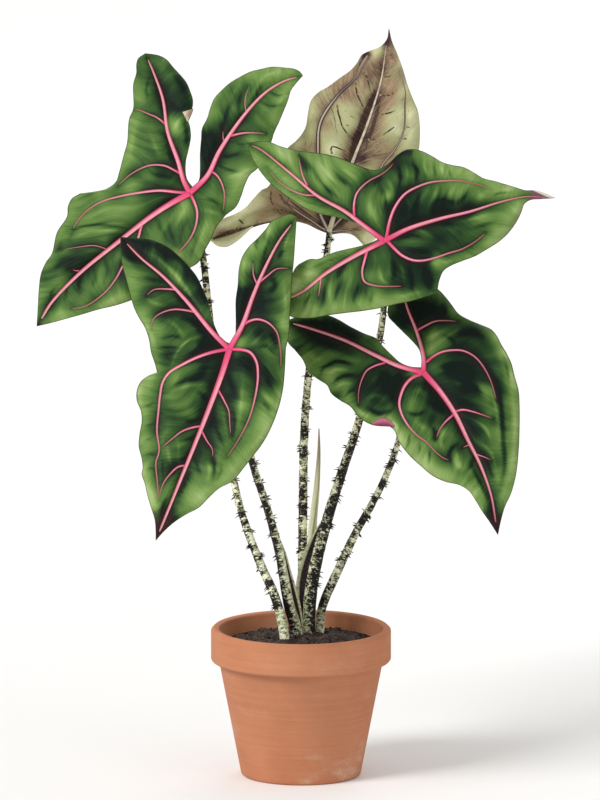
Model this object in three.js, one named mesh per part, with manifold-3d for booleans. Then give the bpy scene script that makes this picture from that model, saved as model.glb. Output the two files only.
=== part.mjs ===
// A potted Alocasia johnstonii: five arrow-shaped leaves on prickly stalks, a rolled new leaf,
// the short rootstock they grow from, the soil and a plain clay pot.
// Millimetres, +Z up, origin at the centre of the pot's foot.
import * as THREE from "three";
import { mergeVertices } from "three/addons/utils/BufferGeometryUtils.js";
import Module from "manifold-3d";

const wasm = await Module();
wasm.setup();

// Pot and soil
const POT_HEIGHT = 150;
const RIM_RADIUS = 90;
const RIM_BAND = 34;
const BODY_TOP_RADIUS = 82;
const FOOT_RADIUS = 60;
const POT_WALL = 6;
const POT_FLOOR = 9;
const POT_SEGMENTS = 32;
const SOIL_SEGMENTS = 28;
const DRAIN_HOLES = 4;
const DRAIN_RADIUS = 6;
const DRAIN_CIRCLE = 32;
const SOIL_EDGE = 133;
const SOIL_TOP = 138;
const GAP = 0.3;

// Rootstock, below the soil
const ROOT_TOP = SOIL_TOP - 24;
const ROOT_HEIGHT = 40;
const ROOT_RADIUS = 31;
const ROOT_CENTRE = [2, 18];

// Leaves
const BLADE = 1.4;
const ROW_STEP = 19;
const CELLS = 4;
const VEIN_STEP = 17;
const VEIN_SINK = 1.6;
const SLIM_VEIN = 3.5;
const BEYOND = 60;

// Stalks
const STALK_SIDES = 8;
const STALK_STEPS = 12;
const STALK_DEPTH = 34;
const SPINE_STEP = 20;
const SPINE_RADIUS = 0.8;
const SPINE_ROOT = 2.2;
const WING = 1.6;
const SPEAR_STEPS = 12;
const STEM_GAP = 0.4;

// The plant is set out on a front elevation drawn at full size on a sheet: x in millimetres
// from the sheet's left edge, y down from its top. The eye looks down on it by VIEW_TILT.
// A third number is the depth behind the middle of the pot, along the line of sight.
const VIEW_TILT = THREE.MathUtils.degToRad(11);
const SHEET_X = 301;
const SHEET_Y = 688;

function place(x, y, depth) {
  const up = SHEET_Y - y;
  return new THREE.Vector3(
    x - SHEET_X,
    up * Math.sin(VIEW_TILT) + depth * Math.cos(VIEW_TILT),
    SOIL_TOP + up * Math.cos(VIEW_TILT) - depth * Math.sin(VIEW_TILT),
  );
}

// Each leaf: its stalk joins it at "joint"; "tip" is its point, "notches" the waists of its sides,
// and "sinus" the bottom of the cleft between the rear lobes. The margins run round the blade from
// the sinus. "lean" is the blade's slope in depth to the right and upwards, "droop" how much its
// point and its rear lobes bend back, and "wave" the height, number and start of the edge's waves.
// Veins list the width at their two ends, then their points.
const LEAVES = {
  a: {
    joint: [190, 243],
    sinus: [193, 237],
    tip: [37, 376],
    notches: [[80, 243], [226, 265]],
    lobes: [
      {
        tip: [145, 102],
        rib: [[184, 230], [177, 212], [167, 182], [163, 148], [153, 122]],
        inner: [
          [187, 227], [186, 208], [190, 190], [187, 170], [193, 150], [186, 131], [173, 116],
          [158, 104],
        ],
        outer: [[136, 111], [135, 126], [133, 158], [126, 194], [118, 228], [107, 237], [95, 241]],
      },
      {
        tip: [303, 125],
        rib: [[208, 226], [220, 200], [245, 163], [265, 141], [284, 130]],
        inner: [
          [198, 232], [200, 212], [203, 181], [214, 149], [230, 132], [250, 121], [272, 116],
          [293, 118],
        ],
        outer: [[241, 249], [248, 228], [264, 211], [273, 187], [284, 160], [292, 139]],
      },
    ],
    rib: [[170, 252], [150, 265], [118, 292], [80, 322], [52, 352]],
    sides: [
      [[71, 250], [67, 267], [54, 287], [51, 305], [41, 325], [38, 350]],
      [[50, 373], [83, 364], [117, 355], [150, 343], [180, 326], [199, 311], [207, 296], [216, 277]],
    ],
    depth: -35,
    lean: [-0.25, 0.5],
    droop: [0.07, 0.05],
    wave: [5, 9, 0.4],
    veins: [
      [3.2, 1.4, [190, 243], [160, 240], [120, 246], [92, 258], [73, 278]],
      [2.6, 1.3, [148, 267], [140, 284], [122, 317], [106, 342], [72, 359]],
      [2.8, 1.3, [190, 243], [198, 262], [197, 280], [176, 307]],
      [2.2, 1.3, [166, 174], [150, 161], [134, 157]],
      [2.4, 1.3, [181, 223], [165, 214], [143, 219], [118, 237]],
      [2.2, 1.3, [231, 186], [245, 182], [262, 183]],
      [2.2, 1.3, [211, 221], [224, 235], [225, 260]],
    ],
  },
  b: {
    joint: [230, 399],
    sinus: [231, 394],
    tip: [157, 589],
    notches: [[158, 422], [286, 398]],
    lobes: [
      {
        tip: [121, 287],
        rib: [[213, 382], [187, 350], [165, 325], [143, 307]],
        inner: [[222, 387], [211, 362], [203, 338], [190, 317], [170, 298], [148, 289]],
        outer: [[122, 305], [127, 330], [135, 358], [147, 380], [152, 403]],
      },
      {
        tip: [297, 267],
        rib: [[243, 375], [254, 347], [265, 322], [280, 292]],
        inner: [[236, 378], [236, 350], [239, 318], [248, 298], [266, 279], [281, 268]],
        outer: [[290, 372], [291, 340], [294, 306]],
      },
    ],
    rib: [[223, 423], [210, 458], [196, 493], [182, 527], [168, 560]],
    sides: [
      [[147, 427], [138, 441], [143, 470], [140, 495], [143, 522], [149, 545], [156, 570]],
      [[170, 575], [187, 563], [210, 546], [233, 530], [252, 507], [270, 480], [282, 445]],
    ],
    depth: -165,
    lean: [-0.1, 0.55],
    droop: [0.07, 0.05],
    wave: [5, 10, 1.6],
    veins: [
      [3.4, 1.4, [230, 399], [200, 406], [170, 422], [161, 450], [159, 490], [158, 520], [161, 548]],
      [2.4, 1.3, [203, 475], [183, 481], [163, 497]],
      [2.2, 1.3, [189, 513], [172, 523], [161, 545]],
      [2.2, 1.3, [218, 440], [230, 458], [232, 485]],
      [3.2, 1.4, [230, 399], [250, 403], [259, 425], [255, 455], [243, 484], [228, 507]],
      [2.2, 1.3, [178, 339], [160, 339], [147, 346]],
      [2.2, 1.3, [196, 362], [175, 360], [158, 366], [152, 380]],
      [2.2, 1.3, [260, 333], [272, 322], [289, 319]],
      [2.4, 1.3, [243, 375], [256, 369], [272, 377], [282, 398], [282, 418]],
    ],
  },
  c: {
    joint: [384, 291],
    sinus: [378, 289],
    tip: [556, 248],
    notches: [[436, 344], [380, 218]],
    lobes: [
      {
        tip: [282, 352],
        rib: [[355, 304], [325, 322], [303, 340]],
        inner: [[365, 295], [335, 302], [312, 309], [296, 319]],
        outer: [[291, 366], [312, 368], [345, 363], [380, 358], [412, 351]],
      },
      {
        tip: [247, 193],
        rib: [[365, 275], [345, 260], [318, 246], [290, 222], [262, 199]],
        inner: [[363, 276], [340, 268], [310, 261], [285, 245], [263, 225], [250, 205]],
        outer: [[362, 217], [340, 208], [310, 202], [280, 196]],
      },
    ],
    rib: [[408, 279], [440, 268], [470, 261], [500, 252], [526, 247]],
    sides: [
      [[439, 328], [450, 316], [475, 306], [498, 292], [515, 273], [523, 254], [536, 248]],
      [[541, 241], [515, 237], [483, 228], [452, 215], [428, 204], [404, 200]],
    ],
    depth: -85,
    lean: [0.05, 0.45],
    droop: [0.07, 0.05],
    wave: [5, 9, 2.6],
    veins: [
      [3.2, 1.4, [384, 291], [389, 268], [400, 247], [417, 235], [445, 231], [475, 234], [490, 240]],
      [3, 1.4, [384, 291], [396, 301], [412, 310], [435, 309], [462, 300], [485, 283]],
      [2.2, 1.3, [309, 237], [302, 220], [299, 205]],
      [2.4, 1.3, [354, 267], [354, 250], [366, 234], [388, 220]],
      [2.4, 1.3, [367, 298], [362, 314], [367, 331], [385, 337], [402, 336]],
      [2, 1.3, [321, 325], [320, 336], [319, 348]],
    ],
  },
  d: {
    joint: [423, 422],
    sinus: [422, 417],
    tip: [497, 584],
    notches: [[388, 475], [506, 402]],
    lobes: [
      {
        tip: [285, 371],
        rib: [[398, 415], [375, 404], [345, 389], [310, 377]],
        inner: [[411, 416], [393, 405], [378, 391], [356, 379], [333, 367], [308, 363]],
        outer: [[288, 391], [303, 411], [327, 435], [350, 457], [370, 473]],
      },
      {
        tip: [400, 333],
        rib: [[424, 408], [418, 382], [408, 358]],
        inner: [[419, 401], [408, 388], [393, 373], [388, 356]],
        outer: [[496, 384], [475, 372], [456, 360], [443, 343], [424, 333]],
      },
    ],
    rib: [[440, 442], [455, 464], [467, 490], [479, 515], [490, 545]],
    sides: [
      [[397, 488], [412, 508], [432, 525], [462, 536], [477, 553], [487, 569]],
      [[503, 560], [513, 533], [519, 495], [519, 455], [514, 425]],
    ],
    depth: -75,
    lean: [0.2, 0.5],
    droop: [0.07, 0.05],
    wave: [5, 9, 3.9],
    veins: [
      [3.2, 1.4, [423, 422], [405, 433], [399, 453], [408, 474], [427, 491], [449, 509]],
      [3, 1.4, [424, 412], [440, 402], [460, 399], [478, 409], [490, 430], [496, 450]],
      [2.4, 1.3, [385, 410], [369, 418], [360, 436], [359, 455]],
      [2.2, 1.3, [417, 380], [432, 371], [458, 371]],
      [2.2, 1.3, [454, 462], [472, 461], [493, 468]],
      [2.2, 1.3, [455, 463], [443, 473], [436, 488]],
      [2, 1.3, [474, 503], [492, 510]],
    ],
  },
  e: {
    joint: [329, 281],
    sinus: [331, 284],
    tip: [389, 77],
    notches: [[405, 238], [278, 215]],
    lobes: [
      {
        tip: [366, 296],
        rib: [[340, 281], [352, 285]],
        inner: [[345, 285], [356, 290]],
        outer: [[378, 286], [393, 262]],
      },
      {
        tip: [211, 289],
        rib: [[300, 264], [275, 258], [243, 269]],
        inner: [[317, 279], [297, 270], [275, 271], [255, 276], [232, 290]],
        outer: [[268, 236], [250, 252], [228, 265], [215, 275]],
      },
    ],
    rib: [[340, 247], [352, 213], [368, 172], [381, 130]],
    sides: [
      [[414, 218], [420, 190], [418, 160], [408, 135], [397, 104]],
      [[385, 91], [368, 101], [354, 116], [328, 136], [311, 150], [305, 177], [290, 195]],
    ],
    depth: 45,
    lean: [0.05, -0.25],
    droop: [0.05, 0.05],
    wave: [4, 8, 0.9],
    veins: [
      [2.8, 1.4, [329, 281], [319, 240], [317, 200], [320, 166], [338, 139], [366, 106]],
      [2.8, 1.4, [329, 281], [372, 250], [397, 205], [406, 168], [402, 120]],
      [2, 1.3, [352, 213], [335, 203], [318, 190]],
      [2, 1.3, [363, 185], [345, 170], [324, 158]],
      [2, 1.3, [357, 200], [378, 190], [401, 190]],
      [2, 1.3, [370, 165], [388, 156], [406, 156]],
    ],
  },
};
const RIB_WIDTHS = [5.4, 1.8];
const LOBE_RIB_WIDTHS = [4.6, 1.6];

// Stalks, from the soil up to the leaf: sheet x, sheet y, depth, thickness.
const STALKS = {
  a: [
    [285, 690, -10, 10], [277, 652, -9, 9.4], [257, 605, -7, 8.4], [241, 560, -5, 7.6],
    [231, 515, -3, 7], [217, 430, -2, 7], [208, 350, -8, 7], [202, 300, -15, 6.8], [191, 248, -44, 6],
  ],
  b: [
    [297, 685, 15, 12], [288, 650, 0, 11], [280, 605, -22, 9], [268, 560, -46, 8],
    [252, 510, -74, 7.4], [240, 455, -106, 7], [229, 403, -174, 6.4],
  ],
  c: [
    [309, 684, 23, 12], [310, 650, 20, 13], [315, 618, 16, 12], [327, 570, 9, 11],
    [341, 525, 0, 9.4], [356, 480, -10, 8.4], [368, 435, -22, 7.6], [380, 385, -38, 6.6],
    [385, 340, -56, 6.2], [386, 293, -90, 6],
  ],
  d: [
    [320, 681, 36, 9], [322, 658, 30, 9], [338, 620, 18, 9], [357, 580, 4, 8], [375, 548, -10, 7.2],
    [391, 513, -26, 6.6], [400, 485, -39, 6.2], [413, 450, -56, 6], [424, 427, -84, 6],
  ],
  e: [
    [301, 681, 40, 9], [302, 640, 42, 9], [303, 560, 42, 9], [304, 490, 41, 8.6],
    [308, 430, 40, 7.5], [316, 370, 40, 7], [326, 310, 42, 6.6], [330, 278, 47, 6],
  ],
};
const STALK_SEEDS = { a: 11, b: 23, c: 31, d: 41, e: 59 };

// The sheaths at the foot of two stalks, as outlines on the sheet.
const WINGS = {
  b: [
    [276, 578], [288, 608], [295, 628], [299, 650], [303, 676], [297, 680], [288, 650], [280, 610],
  ],
  c: [
    [322, 570], [310, 590], [301, 610], [296, 638], [299, 660], [304, 678], [310, 676], [311, 648],
    [316, 616], [326, 580],
  ],
};
const WING_DEPTH = { b: 0, c: 2 };

// The new leaf, still rolled into a spear.
const SPEAR = [
  [312, 684, 35, 6], [311, 650, 34, 8], [311, 610, 33, 9.4], [313, 575, 32, 9], [317, 535, 31, 6.6],
  [319, 500, 30, 3.6], [319, 478, 29, 1.2],
];

// Solids

// A closed geometry as a solid, its faces pointing out.
function solid(geometry) {
  const bare = new THREE.BufferGeometry();
  const loose = geometry.index ? geometry.toNonIndexed() : geometry;
  bare.setAttribute("position", loose.getAttribute("position"));
  const merged = mergeVertices(bare, 1e-4);
  const corners = [];
  for (let i = 0; i < merged.index.count; i += 3) {
    const [p, q, r] = [0, 1, 2].map((k) => merged.index.getX(i + k));
    if (p !== q && q !== r && r !== p) corners.push([p, q, r]);
  }
  const made = (list) =>
    new wasm.Manifold(
      new wasm.Mesh({
        numProp: 3,
        vertProperties: new Float32Array(merged.attributes.position.array),
        triVerts: new Uint32Array(list.flat()),
      }),
    );
  const first = made(corners);
  return first.volume() > 0 ? first : made(corners.map(([p, q, r]) => [p, r, q]));
}

// The largest body of a solid, without loose scraps.
function mainBody(made) {
  return made.decompose().reduce((a, b) => (a.volume() > b.volume() ? a : b));
}

function joined(solids) {
  return solids.reduce((whole, piece) => whole.add(piece));
}

function meshOf(name, made, material) {
  const { vertProperties, triVerts } = made.getMesh();
  const geometry = new THREE.BufferGeometry();
  geometry.setAttribute("position", new THREE.BufferAttribute(vertProperties, 3));
  geometry.setIndex(new THREE.BufferAttribute(triVerts, 1));
  geometry.computeVertexNormals();
  const mesh = new THREE.Mesh(geometry, material);
  mesh.name = name;
  return mesh;
}

// Moves every vertex of a geometry through a function of its three coordinates.
function warped(geometry, move) {
  const position = geometry.getAttribute("position");
  for (let i = 0; i < position.count; i++) {
    const p = move(position.getX(i), position.getY(i), position.getZ(i));
    position.setXYZ(i, p.x, p.y, p.z);
  }
  return geometry;
}

// A small generator of repeatable random numbers between 0 and 1.
function seeded(seed) {
  let state = seed;
  return () => {
    state = (state * 48271) % 2147483647;
    return state / 2147483647;
  };
}

function sheetCurve(points) {
  return new THREE.CatmullRomCurve3(points.map(([x, y]) => new THREE.Vector3(x, y, 0)));
}

// Blade: rows run from the ribs out to the margin, right round the leaf. The two sides of a rib
// have the same number of rows, so that they meet along it.
function marginRows(leaf) {
  const [left, right] = leaf.lobes;
  const sides = [
    [left, [leaf.sinus, ...left.inner, left.tip], [left.tip, ...left.outer, leaf.notches[0]]],
    [
      leaf,
      [leaf.notches[0], ...leaf.sides[0], leaf.tip],
      [leaf.tip, ...leaf.sides[1], leaf.notches[1]],
    ],
    [
      right,
      [leaf.notches[1], ...right.outer, right.tip],
      [right.tip, ...right.inner.toReversed(), leaf.sinus],
    ],
  ];
  const rows = [];
  for (const [part, out, back] of sides) {
    const rib = sheetCurve([leaf.joint, ...part.rib, part.tip]);
    const edges = [sheetCurve(out), sheetCurve(back)];
    const longest = Math.max(...edges.map((edge) => edge.getLength()));
    const count = Math.max(4, Math.round(longest / ROW_STEP));
    for (let i = 0; i < count; i++) {
      rows.push({ spine: rib.getPointAt(i / count), edge: edges[0].getPointAt(i / count) });
    }
    for (let i = 0; i < count; i++) {
      rows.push({ spine: rib.getPointAt(1 - i / count), edge: edges[1].getPointAt(i / count) });
    }
  }
  return rows;
}

// Depth of the blade's middle surface at a share s of the way out along row k.
function bladeDepth(leaf, rows, k, s) {
  const { spine, edge } = rows[k];
  const x = THREE.MathUtils.lerp(spine.x, edge.x, s);
  const y = THREE.MathUtils.lerp(spine.y, edge.y, s);
  const right = x - leaf.joint[0];
  const up = leaf.joint[1] - y;
  const reach = Math.hypot(leaf.tip[0] - leaf.joint[0], leaf.tip[1] - leaf.joint[1]);
  const ahead =
    (right * (leaf.tip[0] - leaf.joint[0]) + up * (leaf.joint[1] - leaf.tip[1])) / reach;
  const bend = leaf.droop[ahead > 0 ? 0 : 1] * ((ahead * ahead) / 100);
  const width = spine.distanceTo(edge);
  const swell = Math.min(7, 0.12 * width) * Math.sin(Math.PI * s);
  const [height, count, start] = leaf.wave;
  const turn = (2 * Math.PI * count * k) / rows.length + start;
  const wave = Math.min(height, 0.1 * width) * s * s * Math.sin(turn);
  const depth = leaf.depth + leaf.lean[0] * right + leaf.lean[1] * up + bend - swell + wave;
  return { x, y, depth };
}

// The blade's triangles as grid points, each a sheet position and a depth.
function bladeFacets(leaf) {
  const rows = marginRows(leaf);
  const grid = rows.map((_, k) =>
    Array.from({ length: CELLS + 1 }, (__, j) => bladeDepth(leaf, rows, k, j / CELLS)),
  );
  const facets = [];
  for (let k = 0; k < rows.length; k++) {
    const here = grid[k];
    const next = grid[(k + 1) % rows.length];
    for (let j = 0; j < CELLS; j++) {
      facets.push([here[j], next[j], next[j + 1]], [here[j], next[j + 1], here[j + 1]]);
    }
  }
  return { facets, edge: grid.map((row) => row[CELLS]) };
}

// A sheet that follows the blade, from "front" millimetres before it to "back" behind it.
function bladeSlab({ facets, edge }, front, back) {
  const points = [];
  const face = (shift, flip) => {
    for (const facet of facets) {
      const corners = facet.map((p) => place(p.x, p.y, p.depth + shift));
      points.push(...(flip ? corners.reverse() : corners));
    }
  };
  face(-front, true);
  face(back, false);
  edge.forEach((p, k) => {
    const q = edge[(k + 1) % edge.length];
    const [p0, p1] = [-front, back].map((shift) => place(p.x, p.y, p.depth + shift));
    const [q0, q1] = [-front, back].map((shift) => place(q.x, q.y, q.depth + shift));
    points.push(p0, q1, q0, p0, p1, q1);
  });
  return solid(new THREE.BufferGeometry().setFromPoints(points));
}

// Depth of the blade under a point of the sheet, or of its nearest grid point outside the blade.
function depthUnder({ facets }, x, y) {
  let nearest = facets[0][0];
  for (const [a, b, c] of facets) {
    const area = (b.x - a.x) * (c.y - a.y) - (c.x - a.x) * (b.y - a.y);
    if (Math.hypot(a.x - x, a.y - y) < Math.hypot(nearest.x - x, nearest.y - y)) nearest = a;
    if (Math.abs(area) < 1e-6) continue;
    const wb = ((x - a.x) * (c.y - a.y) - (c.x - a.x) * (y - a.y)) / area;
    const wc = ((b.x - a.x) * (y - a.y) - (x - a.x) * (b.y - a.y)) / area;
    if (wb >= -1e-6 && wc >= -1e-6 && wb + wc <= 1 + 1e-6) {
      return a.depth + wb * (b.depth - a.depth) + wc * (c.depth - a.depth);
    }
  }
  return nearest.depth;
}

// A vein: a ridge that lies on the blade and narrows towards its far end, its crest flat on a
// stout one and sharp on a slim one.
function veinSolid(blade, startWidth, endWidth, points) {
  const curve = sheetCurve(points);
  const steps = Math.max(3, Math.round(curve.getLength() / VEIN_STEP));
  const crestCorners = startWidth < SLIM_VEIN ? [[0, 1]] : [[0.4, 1], [-0.4, 1]];
  const section = new THREE.Shape(
    [[-1, 0], [1, 0], ...crestCorners].map(([x, y]) => new THREE.Vector2(x, y)),
  );
  const ridge = new THREE.ExtrudeGeometry(section, { depth: 1, steps, bevelEnabled: false });
  return solid(
    warped(ridge, (across, height, t) => {
      const middle = curve.getPointAt(t);
      const along = curve.getTangentAt(t);
      const width = THREE.MathUtils.lerp(startWidth, endWidth, t);
      const crest = 0.5 + 0.45 * width;
      const near = [-0.5, 0, 0.5].map((share) => {
        const q = curve.getPointAt(THREE.MathUtils.clamp(t + share / steps, 0, 1));
        return depthUnder(blade, q.x, q.y);
      });
      const surface = height > 0.5 ? Math.min(...near) : near[1];
      const rise = height > 0.5 ? BLADE / 2 + GAP + crest : BLADE / 2 - VEIN_SINK;
      const half = (across * width) / 2;
      return place(middle.x - along.y * half, middle.y + along.x * half, surface - rise);
    }),
  );
}

function veinSolids(leaf, blade) {
  const ribLine = (part) => [leaf.joint, ...part.rib];
  return [
    veinSolid(blade, ...RIB_WIDTHS, ribLine(leaf)),
    ...leaf.lobes.map((lobe) => veinSolid(blade, ...LOBE_RIB_WIDTHS, ribLine(lobe))),
    ...leaf.veins.map(([start, end, ...points]) => veinSolid(blade, start, end, points)),
  ];
}

// Stalks and other round stems

// A stem through [x, y, depth, thickness] points, carried down into the soil.
function stemPath(points) {
  const [first] = points;
  const foot = place(first[0], first[1], first[2]).setZ(SOIL_TOP - STALK_DEPTH);
  const curve = new THREE.CatmullRomCurve3([
    foot,
    ...points.map(([x, y, depth]) => place(x, y, depth)),
  ]);
  const radii = [first, ...points].map((point) => point[3] / 2);
  const radiusAt = (t) => {
    const place0 = Math.min(Math.floor(t * (radii.length - 1)), radii.length - 2);
    return THREE.MathUtils.lerp(radii[place0], radii[place0 + 1], t * (radii.length - 1) - place0);
  };
  return { curve, radiusAt };
}

function stemSolid({ curve, radiusAt }, steps, extra = 0) {
  const section = new THREE.Shape(
    Array.from({ length: STALK_SIDES }, (_, i) => {
      const angle = (2 * Math.PI * i) / STALK_SIDES;
      return new THREE.Vector2(Math.cos(angle), Math.sin(angle));
    }),
  );
  const tube = new THREE.ExtrudeGeometry(section, { depth: 1, steps, bevelEnabled: false });
  return solid(
    warped(tube, (x, y, t) => {
      const along = curve.getTangent(t);
      const side = new THREE.Vector3(0, 1, 0).cross(along).normalize();
      const front = new THREE.Vector3().crossVectors(along, side);
      const radius = radiusAt(t) + extra;
      return curve
        .getPoint(t)
        .addScaledVector(side, x * radius)
        .addScaledVector(front, y * radius);
    }),
  );
}

// Prickles in pairs along a stalk, each pair turned from the one below it.
function prickles({ curve, radiusAt }, seed) {
  const random = seeded(seed);
  const length = curve.getLength();
  const list = [];
  const turn = 2.4;
  let pair = 0;
  for (let at = STALK_DEPTH + 22; at < length - 22; at += SPINE_STEP) {
    for (const share of [0, 0.45]) {
      const t = curve.getUtoTmapping((at + 4 * random()) / length);
      const angle = turn * pair + 2 * Math.PI * share + 0.6 * random();
      const size = 3 + 1.6 * random();
      const along = curve.getTangent(t);
      const side = new THREE.Vector3(0, 1, 0).cross(along).normalize();
      const front = new THREE.Vector3().crossVectors(along, side);
      const out = side.multiplyScalar(Math.cos(angle)).addScaledVector(front, Math.sin(angle));
      out.addScaledVector(along, 0.5 * (random() - 0.5)).normalize();
      const cone = new THREE.ConeGeometry(SPINE_RADIUS, size + SPINE_ROOT, 3);
      const root = curve.getPoint(t).addScaledVector(out, radiusAt(t) - SPINE_ROOT);
      cone.translate(0, (size + SPINE_ROOT) / 2, 0);
      cone.applyQuaternion(new THREE.Quaternion().setFromUnitVectors(new THREE.Vector3(0, 1, 0), out));
      cone.translate(root.x, root.y, root.z);
      list.push(solid(cone));
    }
    pair += 1;
  }
  return list;
}

// The sheath: a thin sheet beside the foot of a stalk, at the stalk's own depth.
function wingSolid(outline, stalk, behind) {
  const sheet = new THREE.ExtrudeGeometry(
    new THREE.Shape(outline.map(([x, y]) => new THREE.Vector2(x, y))),
    { depth: WING, bevelEnabled: false },
  );
  const depthAt = (y) => {
    const k = Math.max(1, stalk.findIndex((point) => point[1] < y));
    const [low, high] = [stalk[k - 1], stalk[k]];
    return THREE.MathUtils.mapLinear(y, low[1], high[1], low[2], high[2]);
  };
  return solid(warped(sheet, (x, y, z) => place(x, y, depthAt(y) + behind + z - WING / 2)));
}

// Materials

function material(color, roughness) {
  return new THREE.MeshStandardMaterial({ color, roughness, metalness: 0 });
}
const leafGreen = material(0x3f6b35, 0.5);
const veinPink = material(0xd9748a, 0.55);
const undersideBuff = material(0xa8a07c, 0.7);
const stalkCream = material(0xb9bd97, 0.6);
const spearCream = material(0xcfcfa4, 0.6);
const soilDark = material(0x3a2c2a, 0.95);
const rootBrown = material(0x6b4a35, 0.9);
const clay = material(0xb5653f, 0.85);

const plant = new THREE.Group();
const holder = new THREE.Group();

// Rootstock: a short knobbed stump that the stalks stand on.
function rootSolid(extra) {
  const profile = [
    [0, ROOT_TOP + extra],
    [ROOT_RADIUS * 0.8 + extra, ROOT_TOP - 1 + extra],
    [ROOT_RADIUS + extra, ROOT_TOP - 8],
    [ROOT_RADIUS * 0.9 + extra, ROOT_TOP - 18],
    [ROOT_RADIUS * 0.95 + extra, ROOT_TOP - 26],
    [ROOT_RADIUS * 0.5 + extra, ROOT_TOP - ROOT_HEIGHT - extra],
    [0, ROOT_TOP - ROOT_HEIGHT - extra],
  ];
  const stump = new THREE.LatheGeometry(profile.map(([r, z]) => new THREE.Vector2(r, z)), 14);
  stump.rotateX(Math.PI / 2);
  stump.translate(ROOT_CENTRE[0], ROOT_CENTRE[1], 0);
  return solid(stump);
}

const rootstock = rootSolid(0);
const rootRoom = rootSolid(GAP);

// New leaf: prickles of the stalks beside it stop short of it.
const spearPath = stemPath(SPEAR);
const spearRoom = stemSolid(spearPath, SPEAR_STEPS, STEM_GAP);
plant.add(
  meshOf(
    "new_leaf_spear",
    mainBody(stemSolid(spearPath, SPEAR_STEPS).subtract(rootRoom)),
    spearCream,
  ),
);
plant.add(meshOf("rootstock", rootstock, rootBrown));

// Leaves and stalks
const stemRooms = [spearRoom];
for (const [letter, leaf] of Object.entries(LEAVES)) {
  const blade = bladeFacets(leaf);
  const path = stemPath(STALKS[letter]);
  const pieces = [stemSolid(path, STALK_STEPS), ...prickles(path, STALK_SEEDS[letter])];
  if (WINGS[letter]) {
    pieces.push(wingSolid(WINGS[letter], STALKS[letter], WING_DEPTH[letter]));
  }
  stemRooms.push(stemSolid(path, STALK_STEPS, STEM_GAP));
  const veins = veinSolids(leaf, blade);
  const stalk = joined(pieces).subtract(rootRoom).subtract(spearRoom);
  const bladeSolid = bladeSlab(blade, BLADE / 2, BLADE / 2);
  const behindFront = bladeSlab(blade, BLADE / 2 + GAP, BEYOND);
  const name = "leaf_" + letter;
  plant.add(meshOf(name + "_blade", bladeSolid, letter === "e" ? undersideBuff : leafGreen));
  if (letter === "e") {
    const whole = joined([stalk, ...veins]).subtract(behindFront);
    plant.add(meshOf(name + "_stalk_and_ribs", mainBody(whole), stalkCream));
  } else {
    const ridges = joined(veins).subtract(behindFront);
    const beforeBack = bladeSlab(blade, BEYOND, BLADE / 2 + GAP);
    plant.add(meshOf(name + "_veins", mainBody(ridges), veinPink));
    plant.add(meshOf(name + "_stalk", mainBody(stalk.subtract(beforeBack)), stalkCream));
  }
}

// Pot
function turned(profile, segments) {
  const shape = new THREE.LatheGeometry(
    profile.map(([r, z]) => new THREE.Vector2(r, z)),
    segments,
  );
  return shape.rotateX(Math.PI / 2);
}

const bandFoot = POT_HEIGHT - RIM_BAND;
const innerFoot = FOOT_RADIUS - POT_WALL + 2;
const potOutline = [
  [0, 0],
  [FOOT_RADIUS - 2, 0],
  [FOOT_RADIUS, 2],
  [BODY_TOP_RADIUS, bandFoot],
  [RIM_RADIUS - 2, bandFoot],
  [RIM_RADIUS, bandFoot + 2],
  [RIM_RADIUS, POT_HEIGHT - 3],
  [RIM_RADIUS - 3, POT_HEIGHT],
  [RIM_RADIUS - POT_WALL - 2, POT_HEIGHT - 1],
  [RIM_RADIUS - POT_WALL - 3, POT_HEIGHT - 4],
  [BODY_TOP_RADIUS - POT_WALL, bandFoot - 2],
  [innerFoot, POT_FLOOR],
  [0, POT_FLOOR],
];
let pot = solid(turned(potOutline, POT_SEGMENTS));
for (let i = 0; i < DRAIN_HOLES; i++) {
  const angle = (2 * Math.PI * (i + 0.5)) / DRAIN_HOLES;
  const hole = new THREE.CylinderGeometry(DRAIN_RADIUS, DRAIN_RADIUS, 4 * POT_FLOOR, 16);
  hole.rotateX(Math.PI / 2);
  hole.translate(DRAIN_CIRCLE * Math.cos(angle), DRAIN_CIRCLE * Math.sin(angle), 0);
  pot = pot.subtract(solid(hole));
}
holder.add(meshOf("clay_pot", pot, clay));

// Soil: fills the pot, with a low uneven mound round the stalks.
function soilRise(x, y) {
  return (
    1.1 * Math.sin(0.27 * x + 1.4 * Math.sin(0.19 * y)) +
    0.9 * Math.sin(0.33 * y + 1.2 * Math.sin(0.23 * x + 1))
  );
}
const soilRings = [60, 44, 29, 14, 0];
const soilEdgeRadius = RIM_RADIUS - POT_WALL - 3 - GAP - 2.6;
const soilOutline = [
  [0, POT_FLOOR + GAP],
  [innerFoot - 2 * GAP, POT_FLOOR + GAP],
  [BODY_TOP_RADIUS - POT_WALL - 2 * GAP, bandFoot - 2],
  [soilEdgeRadius, SOIL_EDGE],
  ...soilRings.map((r) => [r, THREE.MathUtils.lerp(SOIL_TOP + 1, SOIL_EDGE, (r / 80) ** 2)]),
];
const soilShape = warped(turned(soilOutline, SOIL_SEGMENTS), (x, y, z) => {
  const loose = z > SOIL_EDGE ? soilRise(x, y) : 0;
  return new THREE.Vector3(x, y, z + loose);
});
let soil = solid(soilShape).subtract(rootRoom);
for (const room of stemRooms) soil = soil.subtract(room);
holder.add(meshOf("soil", mainBody(soil), soilDark));

const pottedPlant = new THREE.Group();
pottedPlant.add(holder, plant);
export default pottedPlant;
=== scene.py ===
# %% [markdown]
# # A potted alocasia
# The plain model of this plant is already packed: a clay pot, soil, five arrow-shaped leaves on
# prickly stalks and a rolled new leaf. This lesson loads it as a fixed frame and dresses it: thin
# waved blades with pink veins, mottled stalks, crumbly soil and a fired clay pot.
# Nothing here moves the frame. Every new piece stands where the plain solid stood.

# %% Load the frame
import math

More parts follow.
